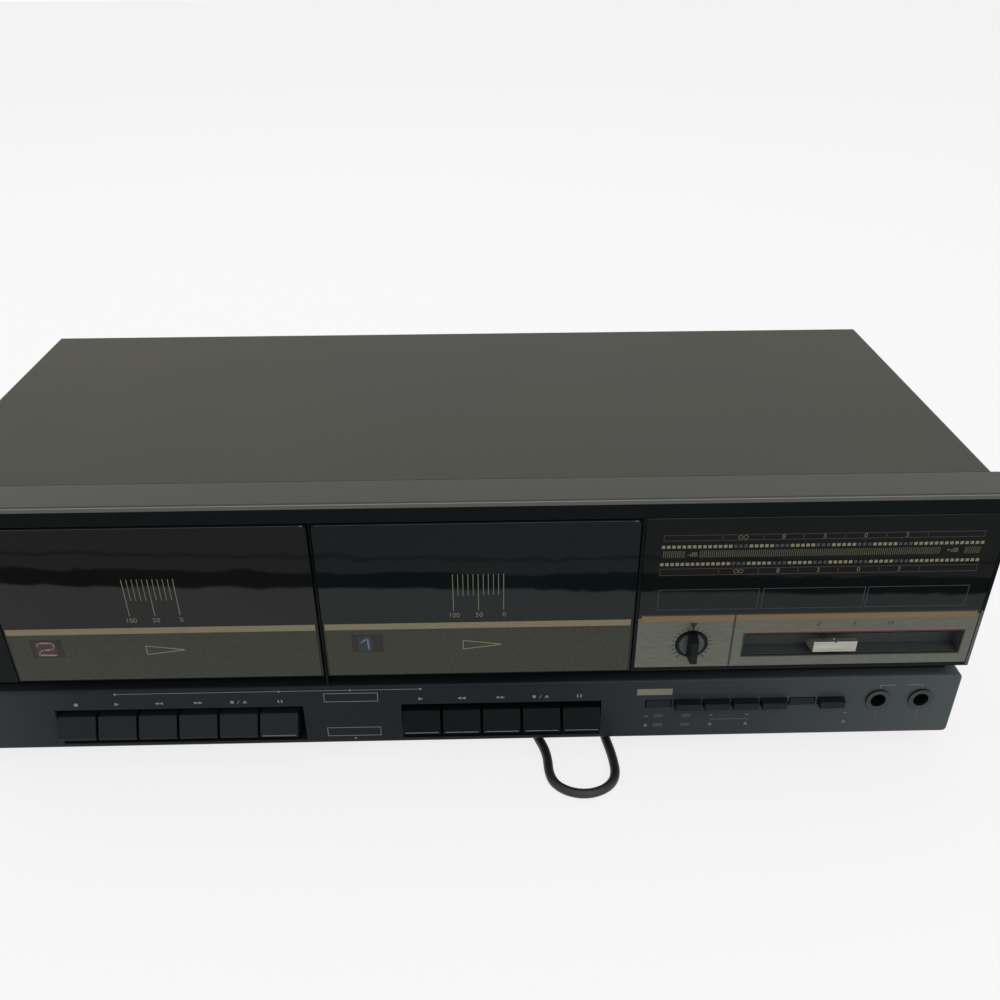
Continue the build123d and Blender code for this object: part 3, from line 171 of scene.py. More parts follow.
def plain_pair(red, green, blue, spread=4):
    """Return two near colours round one screen colour."""
    low = shade(*(max(value - spread, 0) for value in (red, green, blue)))
    return low, shade(*(value + spread for value in (red, green, blue)))


# %% [markdown]
# ## Floor
# Pale paper under the deck carries its shadow. It could be lit until it is white, but that
# would wash out the dark deck, so the paper glows a little for camera, mirror and glass rays
# and stays plain for the light on the deck. The real windows also mirror a dark edge in front
# of the deck. Painted on a window, that line would slide wrongly when the view turns. So mirror
# rays find a dark strip and dimmer paper there, and all others find plain paper.

# %% Floor
floor_reach = 6.0
floor_corners = [(-floor_reach, -floor_reach, 0), (floor_reach, -floor_reach, 0),
                 (floor_reach, floor_reach, 0), (-floor_reach, floor_reach, 0)]
floor_mesh = bpy.data.meshes.new("studio_floor")
floor_mesh.from_pydata(floor_corners, [], [(0, 1, 2, 3)])
floor = bpy.data.objects.new("studio_floor", floor_mesh)
scene.collection.objects.link(floor)
print("floor", 2 * floor_reach, "metres wide")


def seen_rays(tree):
    """Return a socket that is 1 for camera, mirror and transmission rays."""
    rays = add_node(tree, "ShaderNodeLightPath").outputs
    seen = add_math(tree, "MAXIMUM", rays["Is Camera Ray"], rays["Is Glossy Ray"])
    return add_math(tree, "MAXIMUM", seen, rays["Is Transmission Ray"])


# %% Floor paper
white = (1, 1, 1, 1)
seen_glow = 0.8
mirror_extra = 0.2
strip_slant = -0.049
strip_front, strip_back = -0.30, -0.20
strip_levels = [
    (0.0, 0.42), (0.27, 0.42), (0.285, 0.22), (0.315, 0.22), (0.33, 0.42),
    (0.46, 0.42), (0.475, 0.02), (0.64, 0.02), (0.66, 1.0),
]
floor_paper = bpy.data.materials.new("floor_paper")
floor_paper.use_nodes = True
tree = floor_paper.node_tree
paper = tree.nodes["Principled BSDF"]
paper.inputs["Base Color"].default_value = (0.8, 0.8, 0.8, 1)
paper.inputs["Roughness"].default_value = 0.9
mirror_ray = add_node(tree, "ShaderNodeLightPath").outputs["Is Glossy Ray"]
floor_place = object_axes(tree)
slanted_y = add_math(tree, "MULTIPLY_ADD", floor_place["X"], strip_slant, floor_place["Y"])
across_strip = map_range(tree, slanted_y, from_min=strip_front, from_max=strip_back)
strip_tone = colour_ramp(tree, across_strip, [
    (position, (level, level, level, 1)) for position, level in strip_levels
])
glow = add_node(tree, "ShaderNodeEmission", {
    "Color": mix_colour(tree, mirror_ray, white, strip_tone), "Strength": 1.0,
})
seen_share = add_math(tree, "MULTIPLY", seen_rays(tree), seen_glow)
glow_share = add_math(tree, "MULTIPLY_ADD", mirror_ray, mirror_extra, seen_share)
glowing_paper = add_node(tree, "ShaderNodeMixShader", {
    0: glow_share, 1: paper.outputs[0], 2: glow.outputs[0],
})
tree.links.new(glowing_paper.outputs[0], tree.nodes["Material Output"].inputs["Surface"])
floor_mesh.materials.append(floor_paper)
print("floor paper nodes", len(tree.nodes))

# %% [markdown]
# ## Room and lamps
# The deck stood in a bright room. A picture of a room could light it, but then that room would
# show in the gloss. Two soft lamps are plainer: a large one above and a weaker one in front.
# The world is white where it is seen, and weaker where it lights the deck.

# %% Room and lamps
world = bpy.data.worlds.new("bright_room")
world.use_nodes = True
scene.world = world
tree = world.node_tree
sky = tree.nodes["Background"]
sky.inputs["Color"].default_value = white
room = add_node(tree, "ShaderNodeBackground", {"Color": (0.97, 0.98, 1, 1), "Strength": 0.55})
room_and_sky = add_node(tree, "ShaderNodeMixShader", {
    0: seen_rays(tree), 1: room.outputs[0], 2: sky.outputs[0],
})
tree.links.new(room_and_sky.outputs[0], tree.nodes["World Output"].inputs["Surface"])


def soft_lamp(name, hung_at, target, width, power):
    """Hang a square soft lamp that faces a target; places in metres."""
    lamp = bpy.data.lights.new(name, "AREA")
    lamp.size = width
    lamp.energy = power
    holder = bpy.data.objects.new(name, lamp)
    scene.collection.objects.link(holder)
    aim = (Vector(target) - Vector(hung_at)).to_track_quat("-Z", "Y")
    holder.matrix_world = Matrix.Translation(hung_at) @ aim.to_matrix().to_4x4()


soft_lamp("ceiling_softbox", (-0.3, 0.5, 1.7), target=(0, 0, 0.06), width=1.6, power=11)
soft_lamp("front_softbox", (0.5, -1.6, 1.3), target=(0, -0.05, 0.06), width=1.2, power=9)
scene.view_settings.view_transform = "Standard"
print("lamps", [lamp.name for lamp in bpy.data.lights])

# %% [markdown]
# ## Mains lead
# A lead is one length of flexible cord: out of the bush at the back, under the deck, a small
# loop that peeps out in front, back again and into a put-away coil behind the case. It could
# be straight runs with rounded corners, but that looks like bent wire. A NURBS curve whose
# control points are those of the CAD route bends as a cord does. The tube's radius sits at the
# points and the bevel is 1, because a curve's box grows by the radius of its points too.

# %% Lead route
lead_radius = 2.1
lay = 2.2
lead_route = [
    (100.0, 215.6, 32.0), (100.0, 231.0, 32.0), (100.0, 249.0, 27.0), (99.5, 265.5, 18.5),
    (92.6, 277.3, 11.5), (81.5, 281.0, 6.0), (70.4, 277.3, 2.8), (63.5, 267.8, lay),
    (62.6, 252.0, lay), (64.0, 228.0, lay), (61.5, 190.0, lay), (63.5, 146.0, lay),
    (60.5, 102.0, lay), (62.5, 60.0, lay), (61.5, 29.0, lay), (63.4, 9.0, lay),
    (65.6, -5.5, lay), (65.8, -18.7, lay), (60.3, -26.3, lay), (51.3, -29.2, lay),
    (42.3, -26.3, lay), (36.8, -18.7, lay), (36.9, -2.0, lay), (31.8, 12.0, lay),
    (29.5, 34.0, lay), (31.0, 66.0, lay), (28.5, 108.0, lay), (31.0, 150.0, lay),
    (27.0, 190.0, lay), (24.0, 217.0, lay), (24.0, 232.0, lay),
]
lead_points = [Vector((x, face_y + depth, z)) / 1000 for x, depth, z in lead_route]
coil_outer = 33.0
coil_pitch = 2 * lead_radius + 0.55
coil_halves = 8
coil_steps = 8
coil_tail = 32.0
print("lead route points", len(lead_points))


def coil_points():
    """Return points of a coil that spirals in, climbs a layer and spirals out, in millimetres."""
    radii = [coil_outer - i * coil_pitch / 2 for i in range(coil_halves + 1)]
    turns = [(radius, 0, 0) for radius in radii[:-1]] + [(radii[-1], 0, 1)]
    turns += [(radius, 1, 1) for radius in reversed(radii[1:-1])]
    points = []
    x, y = lead_route[-1][0], face_y + lead_route[-1][1] + 2 * lead_radius
    swell = 1 / math.cos(math.pi / coil_steps / 2)
    for i, (radius, level, next_level) in enumerate(turns):
        side = 1 if i % 2 == 0 else -1
        centre = x - side * radius
        for step in range(coil_steps):
            share_done = (step + 0.5) / coil_steps
            angle = math.pi * (i + share_done)
            points.append(Vector((
                centre + swell * radius * math.cos(angle),
                y + swell * radius * math.sin(angle),
                lay + coil_pitch * (level + (next_level - level) * share_done),
            )))
        x -= side * 2 * radius
    top_layer = lay + coil_pitch
    return points + [Vector((x, y + run, top_layer)) for run in (3, coil_tail * 0.5, coil_tail)]


# %% Lead curve
all_points = lead_points + [point / 1000 for point in coil_points()]
lead_curve = bpy.data.curves.new("mains_lead", "CURVE")
lead_curve.dimensions = "3D"
lead_curve.bevel_depth = 1.0
lead_curve.bevel_resolution = 5
lead_curve.resolution_u = 6
lead_curve.use_fill_caps = True
spline = lead_curve.splines.new("NURBS")
spline.points.add(len(all_points) - 1)
for control, point in zip(spline.points, all_points):
    control.radius = lead_radius / 1000
    control.co = (*point, 1)
spline.order_u = 3
spline.use_endpoint_u = True
mains_lead = bpy.data.objects.new("mains_lead", lead_curve)
scene.collection.objects.link(mains_lead)
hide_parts("mains_cord", "cord_coil")
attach(mains_lead, "deck")
print("lead control points", len(all_points))

# %% [markdown]
# ## Finishes
# Every surface of such a deck is moulded, painted, brushed or printed, and none is one flat
# colour close up. Each could have its own net of nodes, but they differ only in numbers. So
# one helper lays a fine noise over two near colours, and lets the same noise move the gloss and
# the surface a little. Stretching the noise makes brushed metal.


# %% Finish helpers
def fine_finish(name, low, high, scale, gloss, bump=0.05, stretch=(1, 1, 1), metal=0.0,
                shine=0.5, depth=0.0001):
    """Make a finish whose colour, roughness and bump follow one noise in object space."""
    made = bpy.data.materials.new(name)
    made.use_nodes = True
    tree = made.node_tree
    grain = add_node(tree, "ShaderNodeMapping", {"Vector": object_place(tree), "Scale": stretch})
    noise = add_node(tree, "ShaderNodeTexNoise", {
        "Vector": grain.outputs["Vector"], "Scale": scale, "Detail": 4,
    }).outputs["Fac"]
    relief = add_node(tree, "ShaderNodeBump", {
        "Height": noise, "Strength": bump, "Distance": depth,
    })
    surface = tree.nodes["Principled BSDF"].inputs
    surface["Metallic"].default_value = metal
    surface["Specular IOR Level"].default_value = shine
    tree.links.new(colour_ramp(tree, noise, [(0.3, low), (0.7, high)]), surface["Base Color"])
    tree.links.new(map_range(tree, noise, to_min=gloss[0], to_max=gloss[1]), surface["Roughness"])
    tree.links.new(relief.outputs["Normal"], surface["Normal"])
    return made


def recolour(made, share, colour):
    """Mix a second colour into the colour that a finish has so far."""
    tree = made.node_tree
    base = tree.nodes["Principled BSDF"].inputs["Base Color"]
    tree.links.new(mix_colour(tree, share, base.links[0].from_socket, colour), base)


def two_tone(made, height, colour):
    """Give a finish another colour above a height over the floor, in millimetres."""
    tree = made.node_tree
    recolour(made, add_math(tree, "GREATER_THAN", object_axes(tree)["Z"], height / 1000), colour)


def ramp_along(made, axis, start, end, stops, amount):
    """Recolour a finish along an object axis; places in millimetres, stops as share and colour."""
    tree = made.node_tree
    along = map_range(tree, object_axes(tree)[axis], from_min=start / 1000, from_max=end / 1000)
    recolour(made, amount, colour_ramp(tree, along, stops))


def mottle(made, colour, scale, amount, fades_between=(0.35, 0.65)):
    """Blend soft patches of a second colour into a finish, as handling and dust leave them."""
    tree = made.node_tree
    noise = add_node(tree, "ShaderNodeTexNoise", {
        "Vector": object_place(tree), "Scale": scale, "Detail": 3,
    }).outputs["Fac"]
    bare, full = fades_between
    patches = map_range(tree, noise, from_min=bare, from_max=full, to_max=amount)
    recolour(made, patches, colour)


# %% [markdown]
# ## Case finishes
# The cover is sheet steel with a satin dark grey coat, on which years leave warm and cool
# patches. The front is a black moulding. Its top face and front bevel are painted grey as the
# light that they catch, with a painted highlight along the edge between them. The strip below is
# a satin black with a painted sheen that makes it paler towards its ends. Such zones could be
# pieces of their own, but the real front is one moulding, so the finish reads where a point is
# on the object and changes colour there.

# %% Cover, bezel and strip
cover_coat = fine_finish("cover_coat", *plain_pair(73, 73, 66, 3), 900, (0.5, 0.6), 0.12,
                         shine=0.06)
mottle(cover_coat, shade(80, 76, 67), 11, 0.45)
mottle(cover_coat, shade(69, 75, 73), 6, 0.3)

bevel_foot, highlight_foot, highlight_top = 124.25, 125.25, 125.5
bezel_black_painted_light = fine_finish("bezel_black_painted_light", *plain_pair(16, 21, 21, 2), 500, (0.1, 0.16), 0.02,
                          shine=0.08)
# Painted light: the bevel and the top face are lighter grey where light catches them, and a thin
# bright band along the edge between them is a painted highlight.
two_tone(bezel_black_painted_light, bevel_foot, shade(88, 88, 83))
two_tone(bezel_black_painted_light, highlight_foot, shade(132, 131, 123))
two_tone(bezel_black_painted_light, highlight_top, shade(73, 74, 69))

strip_end = 215
strip_black_painted_sheen = fine_finish("strip_black_painted_sheen", *plain_pair(26, 31, 34, 2), 700, (0.28, 0.4), 0.05,
                          shine=0.1)
# Painted reflection: the strip grows paler towards both ends, most at the right, as the sheen that
# it catches there.
ramp_along(strip_black_painted_sheen, "X", -strip_end, strip_end, [
    (0.0, shade(56, 62, 67)), (0.12, shade(34, 39, 41)), (0.55, shade(26, 31, 34)),
    (0.78, shade(54, 60, 62)), (1.0, shade(84, 90, 91)),
], amount=0.85)
print("case finishes", cover_coat.name, bezel_black_painted_light.name, strip_black_painted_sheen.name)

# %% [markdown]
# ## Small part finishes
# Inside a deck there is plated sheet, turned steel, brown board, black rubber and black
# mouldings. One grey would do for what is only seen through an open door, but each has its own
# grain, gloss and metal here, because a door does open.

# %% Finishes of the mechanism and the electrics
zinc_sheet = fine_finish("zinc_sheet", *plain_pair(150, 150, 142, 10), 160, (0.3, 0.5), 0.05,
                         metal=1.0)
turned_steel = fine_finish("turned_steel", *plain_pair(176, 176, 172, 8), 60, (0.18, 0.32), 0.05,
                           (1, 12, 1), metal=1.0)
yellow_brass = fine_finish("yellow_brass", *plain_pair(196, 158, 84, 8), 90, (0.2, 0.32), 0.05,
                           (1, 10, 1), metal=1.0)
nickel_shell = fine_finish("nickel_shell", *plain_pair(190, 188, 182, 6), 120, (0.12, 0.25), 0.03,
                           metal=1.0)
black_screw = fine_finish("black_screw", *plain_pair(52, 52, 52, 6), 700, (0.3, 0.45), 0.1,
                          metal=0.8)
brown_board = fine_finish("brown_board", shade(96, 66, 34), shade(120, 84, 44), 220, (0.45, 0.6))
varnished_core = fine_finish("varnished_core", shade(30, 28, 26), shade(60, 54, 46), 30,
                             (0.4, 0.6), 0.4, (1, 60, 1), metal=0.4, depth=0.0004)
black_mould = fine_finish("black_mould", *plain_pair(32, 34, 34, 3), 800, (0.4, 0.55), 0.08,
                          shine=0.3)
matt_rubber = fine_finish("matt_rubber", *plain_pair(30, 30, 30, 4), 1200, (0.7, 0.85), 0.2)
belt_rubber = fine_finish("belt_rubber", *plain_pair(20, 20, 20, 3), 600, (0.6, 0.75), 0.1)
lead_jacket = fine_finish("lead_jacket", *plain_pair(24, 24, 26, 3), 900, (0.42, 0.55), 0.1)
print("finishes so far", len(bpy.data.materials))

# %% [markdown]
# ## Front finishes
# What a hand touches is smoother than the case: smooth keys and buttons, a brushed plate and a
# brushed slider knob. The windows are smoked sheet, and such thin plastic is never quite flat.
# A wavy mesh could show that, but its edges would wander, so a broad, shallow bump bends only
# what the window mirrors.

# %% Finishes of the front
# The keys of both decks are one black moulding; those of deck 1 are painted darker as shaded and
# those of deck 2 lighter as lit, with a little more shine.
key_painted_tone = {
    "1": fine_finish("key_black_painted_shade", *plain_pair(14, 18, 20, 2), 600, (0.34, 0.44), 0.02, shine=0.05),
    "2": fine_finish("key_black_painted_light", *plain_pair(29, 33, 35, 2), 600, (0.34, 0.44), 0.02, shine=0.12),
}
button_black = fine_finish("button_black", *plain_pair(23, 28, 30, 3), 900, (0.34, 0.46), 0.06,
                           shine=0.12)
door_black = fine_finish("door_black", *plain_pair(10, 12, 13, 2), 500, (0.2, 0.3), 0.02,
                         shine=0.05)
knob_metal = fine_finish("knob_metal", *plain_pair(168, 167, 156, 14), 90, (0.22, 0.4), 0.06,
                         (0.5, 12, 12), metal=0.75)
satin_plate = fine_finish("satin_plate", *plain_pair(99, 101, 90, 7), 900, (0.3, 0.44), 0.06,
                          (0.35, 2.5, 2.5), metal=0.35, shine=0.4)
socket_black = fine_finish("socket_black", *plain_pair(20, 25, 26, 2), 500, (0.16, 0.26), 0.03)
knob_skirt = fine_finish("knob_skirt", *plain_pair(13, 16, 15, 2), 500, (0.3, 0.4), 0.03,
                         shine=0.15)
trough_grey = fine_finish("trough_grey", *plain_pair(76, 82, 80, 3), 700, (0.5, 0.6), 0.05,
                          shine=0.15)


def wavy_pane(name, colour, shine):
    """Make a smoked pane whose broad, shallow waves bend what it mirrors."""
    return fine_finish(name, *plain_pair(*colour, 2), 9, (0.02, 0.05), 1.0,
                       shine=shine, depth=0.0006)


smoked_glass = wavy_pane("smoked_glass", (15, 19, 18), 0.2)
pane_finish = {
    "1": wavy_pane("pane_right", (14, 22, 22), 0.25),
    "2": wavy_pane("pane_left", (18, 20, 18), 0.25),
}
print("panes", smoked_glass.name, [made.name for made in pane_finish.values()])

# %% [markdown]
# ## Hand out the finishes
# Each part could be given its finish by hand, but its name says what it is, so a table from
# names to finishes is enough. Parts that come in sets share the start of their names, and the
# keys take the tone that is painted for the light on their deck.

# %% Finish of each node
node_finish = {
    "chassis": zinc_sheet, "top_cover": cover_coat, "front_bezel": bezel_black_painted_light,
    "control_strip": strip_black_painted_sheen, "display_window": smoked_glass, "level_display": brown_board,
    "control_plate": satin_plate, "slider_track": trough_grey, "switch_board": brown_board,
    "mic_jacks": socket_black, "line_jacks": nickel_shell, "main_board": brown_board,
    "transformer": varnished_core, "motor": zinc_sheet, "drive_belt": belt_rubber,
    "deck_plate_1": zinc_sheet, "deck_plate_2": zinc_sheet, "feet": matt_rubber,
    "screws": black_screw, "strain_relief": lead_jacket, "mains_plug": lead_jacket,
    "mains_cord": lead_jacket, "cord_coil": lead_jacket, "level_knob": knob_metal,
    "balance_knob": knob_skirt, "motor_pulley": yellow_brass,
}
prefix_finish = {
    "door_frame": door_black, "door_window_1": pane_finish["1"],
    "door_window_2": pane_finish["2"], "cassette_holder": black_mould,
    "push_button": button_black, "supply_spindle": black_mould, "takeup_spindle": black_mould,
    "flywheel": turned_steel, "head_plate": nickel_shell, "pinch_arm": zinc_sheet,
}
for name, node in nodes.items():
    chosen = node_finish.get(name)
    for prefix, finish in prefix_finish.items():
        if name.startswith(prefix):
            chosen = finish
    if "_key_" in name:
        chosen = key_painted_tone[name[-1]]
    node.data.materials.clear()
    node.data.materials.append(chosen)
mains_lead.data.materials.append(lead_jacket)
print("finishes", len(bpy.data.materials))

# %% [markdown]
# ## Inks and trim
# Lines, numbers and icons are screen printed, and the strips and films are thin metal and
# plastic. The inks differ only in colour, so they are one table. The trims have their own gloss,
# and the two metal strips are brushed along X.

# %% Inks and trim
ink_tones = {
    "gold": (130, 124, 96, 6), "counter": (112, 108, 90, 5), "dim": (52, 58, 62, 4),
    "pale": (126, 128, 120, 6), "sign": (100, 98, 84, 5), "dark": (26, 27, 24, 3),
    "rose": (122, 84, 76, 5), "scale": (60, 38, 36, 4), "red": (158, 118, 112, 5),
    "red_shade": (44, 30, 28, 3), "blue": (100, 114, 132, 5), "blue_shade": (26, 34, 46, 3),
    "frame_blue": (40, 48, 64, 4), "olive": (72, 71, 50, 4),
}
ink = {
    colour: fine_finish(f"{colour}_ink", *plain_pair(*tone), 900, (0.4, 0.5))
    for colour, tone in ink_tones.items()
}
brushed_along_x = (0.2, 8, 8)
ink.update({
    "tan": fine_finish("tan_trim", *plain_pair(125, 114, 89, 6), 700, (0.3, 0.42), 0.04,
                       brushed_along_x, metal=0.25),
    "bronze": fine_finish("bronze_trim", *plain_pair(121, 100, 69, 6), 700, (0.3, 0.42), 0.04,
                          brushed_along_x, metal=0.25),
    "brown": fine_finish("brown_film", *plain_pair(56, 56, 47, 7), 1500, (0.26, 0.36), 0.03,
                         shine=0.25),
    "badge": fine_finish("badge_black", *plain_pair(38, 38, 35, 2), 500, (0.2, 0.3), 0.02,
                         shine=0.25),
    # The two light greys that follow the trims are painted highlights: one on the lower edge of
    # keys and at the end of the doors' top edges, one along those top edges.
    "lip": fine_finish("highlight_grey", *plain_pair(104, 108, 108, 8), 500, (0.2, 0.3), 0.02),
    "crease": fine_finish("top_light_grey", *plain_pair(46, 51, 52, 3), 500, (0.2, 0.3), 0.02),
    "rim": fine_finish("rim_grey", *plain_pair(70, 78, 78, 4), 500, (0.2, 0.3), 0.02),
    "cap": fine_finish("cap_grey", *plain_pair(54, 62, 64, 3), 500, (0.3, 0.4), 0.02),
    "mark": fine_finish("label_tan", *plain_pair(118, 112, 92, 5), 500, (0.35, 0.45), 0.02),
})
ink.update({f"pane_{deck}": made for deck, made in pane_finish.items()})
print("inks and trims", len(ink))

# %% [markdown]
# ## Shapes on the face
# A print could be an image, but an image blurs close up, and shapes in the mesh stay sharp at
# any distance. Each shape is a ring of corners on the flat face, given as X and height, and a
# few helpers draw bars, frames, lines and dots.


# %% Flat shapes
def rect(left, right_edge, low, high):
    """Return a rectangle as four corners on the face."""
    return [(left, low), (right_edge, low), (right_edge, high), (left, high)]


def outline(left, right_edge, low, high, width):
    """Return the four bars of a rectangular outline."""
    return [
        rect(left, right_edge, low, low + width),
        rect(left, right_edge, high - width, high),
        rect(left, left + width, low + width, high - width),
        rect(right_edge - width, right_edge, low + width, high - width),
    ]


def stroke(start, end, width):
    """Return a bar between two points on the face."""
    start, end = Vector(start), Vector(end)
    run = end - start
    side = Vector((-run.y, run.x)).normalized() * width / 2
    return [tuple(start - side), tuple(end - side), tuple(end + side), tuple(start + side)]


def closed_line(points, width):
    """Return strokes from each point to the next, and from the last to the first."""
    return [stroke(*ends, width) for ends in zip(points, points[1:] + points[:1])]


def dot(x, height, radius, count=12):
    """Return a small disc on the face."""
    angles = [2 * math.pi * i / count for i in range(count)]
    return [(x + radius * math.cos(a), height + radius * math.sin(a)) for a in angles]


def arrowhead(x, height, reach, half, way=1):
    """Return a triangle that points to the right, or to the left where way is -1."""
    back, tip = x - way * reach, x + way * reach
    return [(back, height - half), (tip, height), (back, height + half)]


# %% [markdown]
# ## Sheets of print
# A print has next to no thickness, but it needs some here, so each shape becomes a very thin
# slab. Every shape could be an object, but hundreds of them are hard to keep track of. So shapes
# of one ink on one moving body are gathered in a sheet, which is built as one mesh at the end.

# %% Gather shapes and signs
sheets = {}
print_thickness = 0.06


def sheet_of(body, colour):
    """Return the mesh that gathers the prints in one ink on one body."""
    if (body, colour) not in sheets:
        sheets[body, colour] = bmesh.new()
    return sheets[body, colour]


def print_shapes(body, colour, shapes, depth=0.0, thickness=print_thickness):
    """Add flat shapes in one ink to the sheet of a body."""
    mesh = sheet_of(body, colour)
    for shape in shapes:
        area = sum(a[0] * b[1] - b[0] * a[1] for a, b in zip(shape, shape[1:] + shape[:1]))
        ring = shape if area > 0 else shape[::-1]
        front = [mesh.verts.new(place(x, depth - thickness, h)) for x, h in ring]
        back = [mesh.verts.new(place(x, depth, h)) for x, h in ring]
        mesh.faces.new(front)
        mesh.faces.new(back[::-1])
        for i in range(len(ring)):
            j = (i + 1) % len(ring)
            mesh.faces.new((front[j], front[i], back[i], back[j]))


def print_text(body, colour, text, x, height, size, depth=0.0, lean=0.0):
    """Add generic numbers or signs, centred on a point, as a thin mesh."""
    data = bpy.data.curves.new("sign", "FONT")
    data.body = text
    data.size = size
    data.extrude = print_thickness / 2
    data.align_x = "CENTER"
    data.align_y = "CENTER"
    data.shear = lean
    data.resolution_u = 3
    sign = bpy.data.objects.new("sign", data)
    scene.collection.objects.link(sign)
    bpy.context.view_layer.update()
    graph = bpy.context.evaluated_depsgraph_get()
    flat = bpy.data.meshes.new_from_object(sign.evaluated_get(graph))
    origin = place(x, depth - print_thickness / 2, height)
    for vertex in flat.vertices:
        a, b, c = vertex.co
        vertex.co = origin + Vector((a, -c, b)) / 1000
    sheet_of(body, colour).from_mesh(flat)
    bpy.data.objects.remove(sign)
    bpy.data.curves.remove(data)
    bpy.data.meshes.remove(flat)


# %% [markdown]
# ## Rows of bars
# Tape counters, lamp rows and hatching are the same small bar many times over. A loop could
# draw each bar, but a Geometry Nodes tree does it with a few named inputs: it sets a bar on each
# point of a line. One tree serves every row on the front, and its result becomes plain mesh.


# %% Row tree
def build_row_tree():
    """Build the tree that repeats a bar along a line, and name its inputs."""
    tree = bpy.data.node_groups.new("bar_row", "GeometryNodeTree")
    kinds = {"Count": "Int", "Pitch": "Vector", "Size": "Vector", "First": "Vector",
             "Ink": "Material"}
    sockets = {
        label: tree.interface.new_socket(label, in_out="INPUT", socket_type="NodeSocket" + kind)
        for label, kind in kinds.items()
    }
    tree.interface.new_socket("Geometry", in_out="OUTPUT", socket_type="NodeSocketGeometry")
    given = tree.nodes.new("NodeGroupInput").outputs
    line = add_node(tree, "GeometryNodeMeshLine", {
        "Count": given["Count"], "Offset": given["Pitch"], "Start Location": given["First"],
    })
    bar = add_node(tree, "GeometryNodeMeshCube", {"Size": given["Size"]})
    row = add_node(tree, "GeometryNodeInstanceOnPoints", {
        "Points": line.outputs["Mesh"], "Instance": bar.outputs["Mesh"],
    })
    real = add_node(tree, "GeometryNodeRealizeInstances", {"Geometry": row.outputs["Instances"]})
    paint = add_node(tree, "GeometryNodeSetMaterial", {
        "Geometry": real.outputs["Geometry"], "Material": given["Ink"],
    })
    add_node(tree, "NodeGroupOutput", {"Geometry": paint.outputs["Geometry"]})
    return tree, {label: socket.identifier for label, socket in sockets.items()}


row_tree, row_inputs = build_row_tree()
rows_made = []
print("row inputs", list(row_inputs))


# %% Lay a row
def bar_row(body, colour, count, pitch, width, low, high, first_x, depth=0.0):
    """Repeat an upright bar along X on the face and add it to the sheet of its ink."""
    carrier = bpy.data.objects.new("row", bpy.data.meshes.new("row"))
    scene.collection.objects.link(carrier)
    modifier = carrier.modifiers.new("row", "NODES")
    modifier.node_group = row_tree
    settings = {
        "Count": count,
        "Pitch": (pitch / 1000, 0.0, 0.0),
        "Size": (width / 1000, print_thickness / 1000, (high - low) / 1000),
        "First": place(first_x, depth - print_thickness / 2, (low + high) / 2),
        "Ink": ink[colour],
    }
    for label, value in settings.items():
        modifier[row_inputs[label]] = value
    graph = bpy.context.evaluated_depsgraph_get()
    flat = bpy.data.meshes.new_from_object(carrier.evaluated_get(graph))
    sheet_of(body, colour).from_mesh(flat)
    bpy.data.objects.remove(carrier)
    bpy.data.meshes.remove(flat)
    rows_made.append(count)


# %% [markdown]
# ## Doors
# Each real door shows one smoked pane over its whole front, with a tan strip, a brown film, a
# tape counter, a numbered badge and an arrow. The solid door is a frame with a window in it,
# and painting both alike would leave their seam. So a pane a tenth of a millimetre thick lies
# over both, and the trim lies on it in layers: film, badge, patch and numeral.

# %% Sizes of the doors
door_centres = {"1": 7.5, "2": -121.0}
door_half = 63.5
pane_low, pane_high, pane_corner, pane_margin = 37.7, 109.4, 1.2, 0.3
top_light_low, top_light_high, top_light_margin = 109.05, 109.3, 1.6
glint_low, glint_left, glint_right = 108.9, 2.6, 1.4
film_low, film_high = 37.9, 60.7
tan_low, tan_high = 60.8, 63.7
left_inset, tan_right_inset, film_right_inset = 1.0, 1.3, 1.2
film_thickness, tan_thickness, patch_thickness = 0.1, 0.18, 0.04
on_pane, on_top_light, on_film, on_badge, on_patch = -0.1, -0.12, -0.2, -0.3, -0.34
print("door centres", door_centres)

# %% Sizes of the counters, badges and arrows
counter_left = {"1": -2.4, "2": -132.2}
counter_pitch = 2.02
counter_top, long_bar_foot, short_bar_foot = 86.5, 69.3, 76.6
long_bar_width, short_bar_width = 0.32, 0.28
counter_text_shift, counter_text_height, counter_text_size = 0.2, 67.1, 3.1
badge_left = {"1": -44.6, "2": -175.3}
badge_width, badge_low, badge_high = 12.8, 49.6, 58.2
badge_ink = {"1": "blue", "2": "red"}
numeral_patch = {"1": (2.6, 8.2), "2": (2.0, 10.5)}
patch_low, patch_high = 50.2, 57.5
numeral_width = 0.65
numeral_path = {
    "1": [(3.8, 54.4), (6.5, 56.6), (6.9, 50.8)],
    "2": [(2.8, 55.6), (3.1, 56.4), (4.1, 56.9), (8.2, 56.9), (9.2, 56.4), (9.6, 55.0),
          (9.2, 54.1), (8.3, 53.7), (5.0, 53.3), (3.6, 52.9), (2.9, 52.0), (2.9, 51.0),
          (9.7, 50.8)],
}
arrow_left = {"1": 1.1, "2": -128.7}
arrow_length, arrow_line = 16.2, 0.35
arrow_foot, arrow_tip, arrow_top = 50.3, 52.4, 54.6
print("badges", badge_ink)


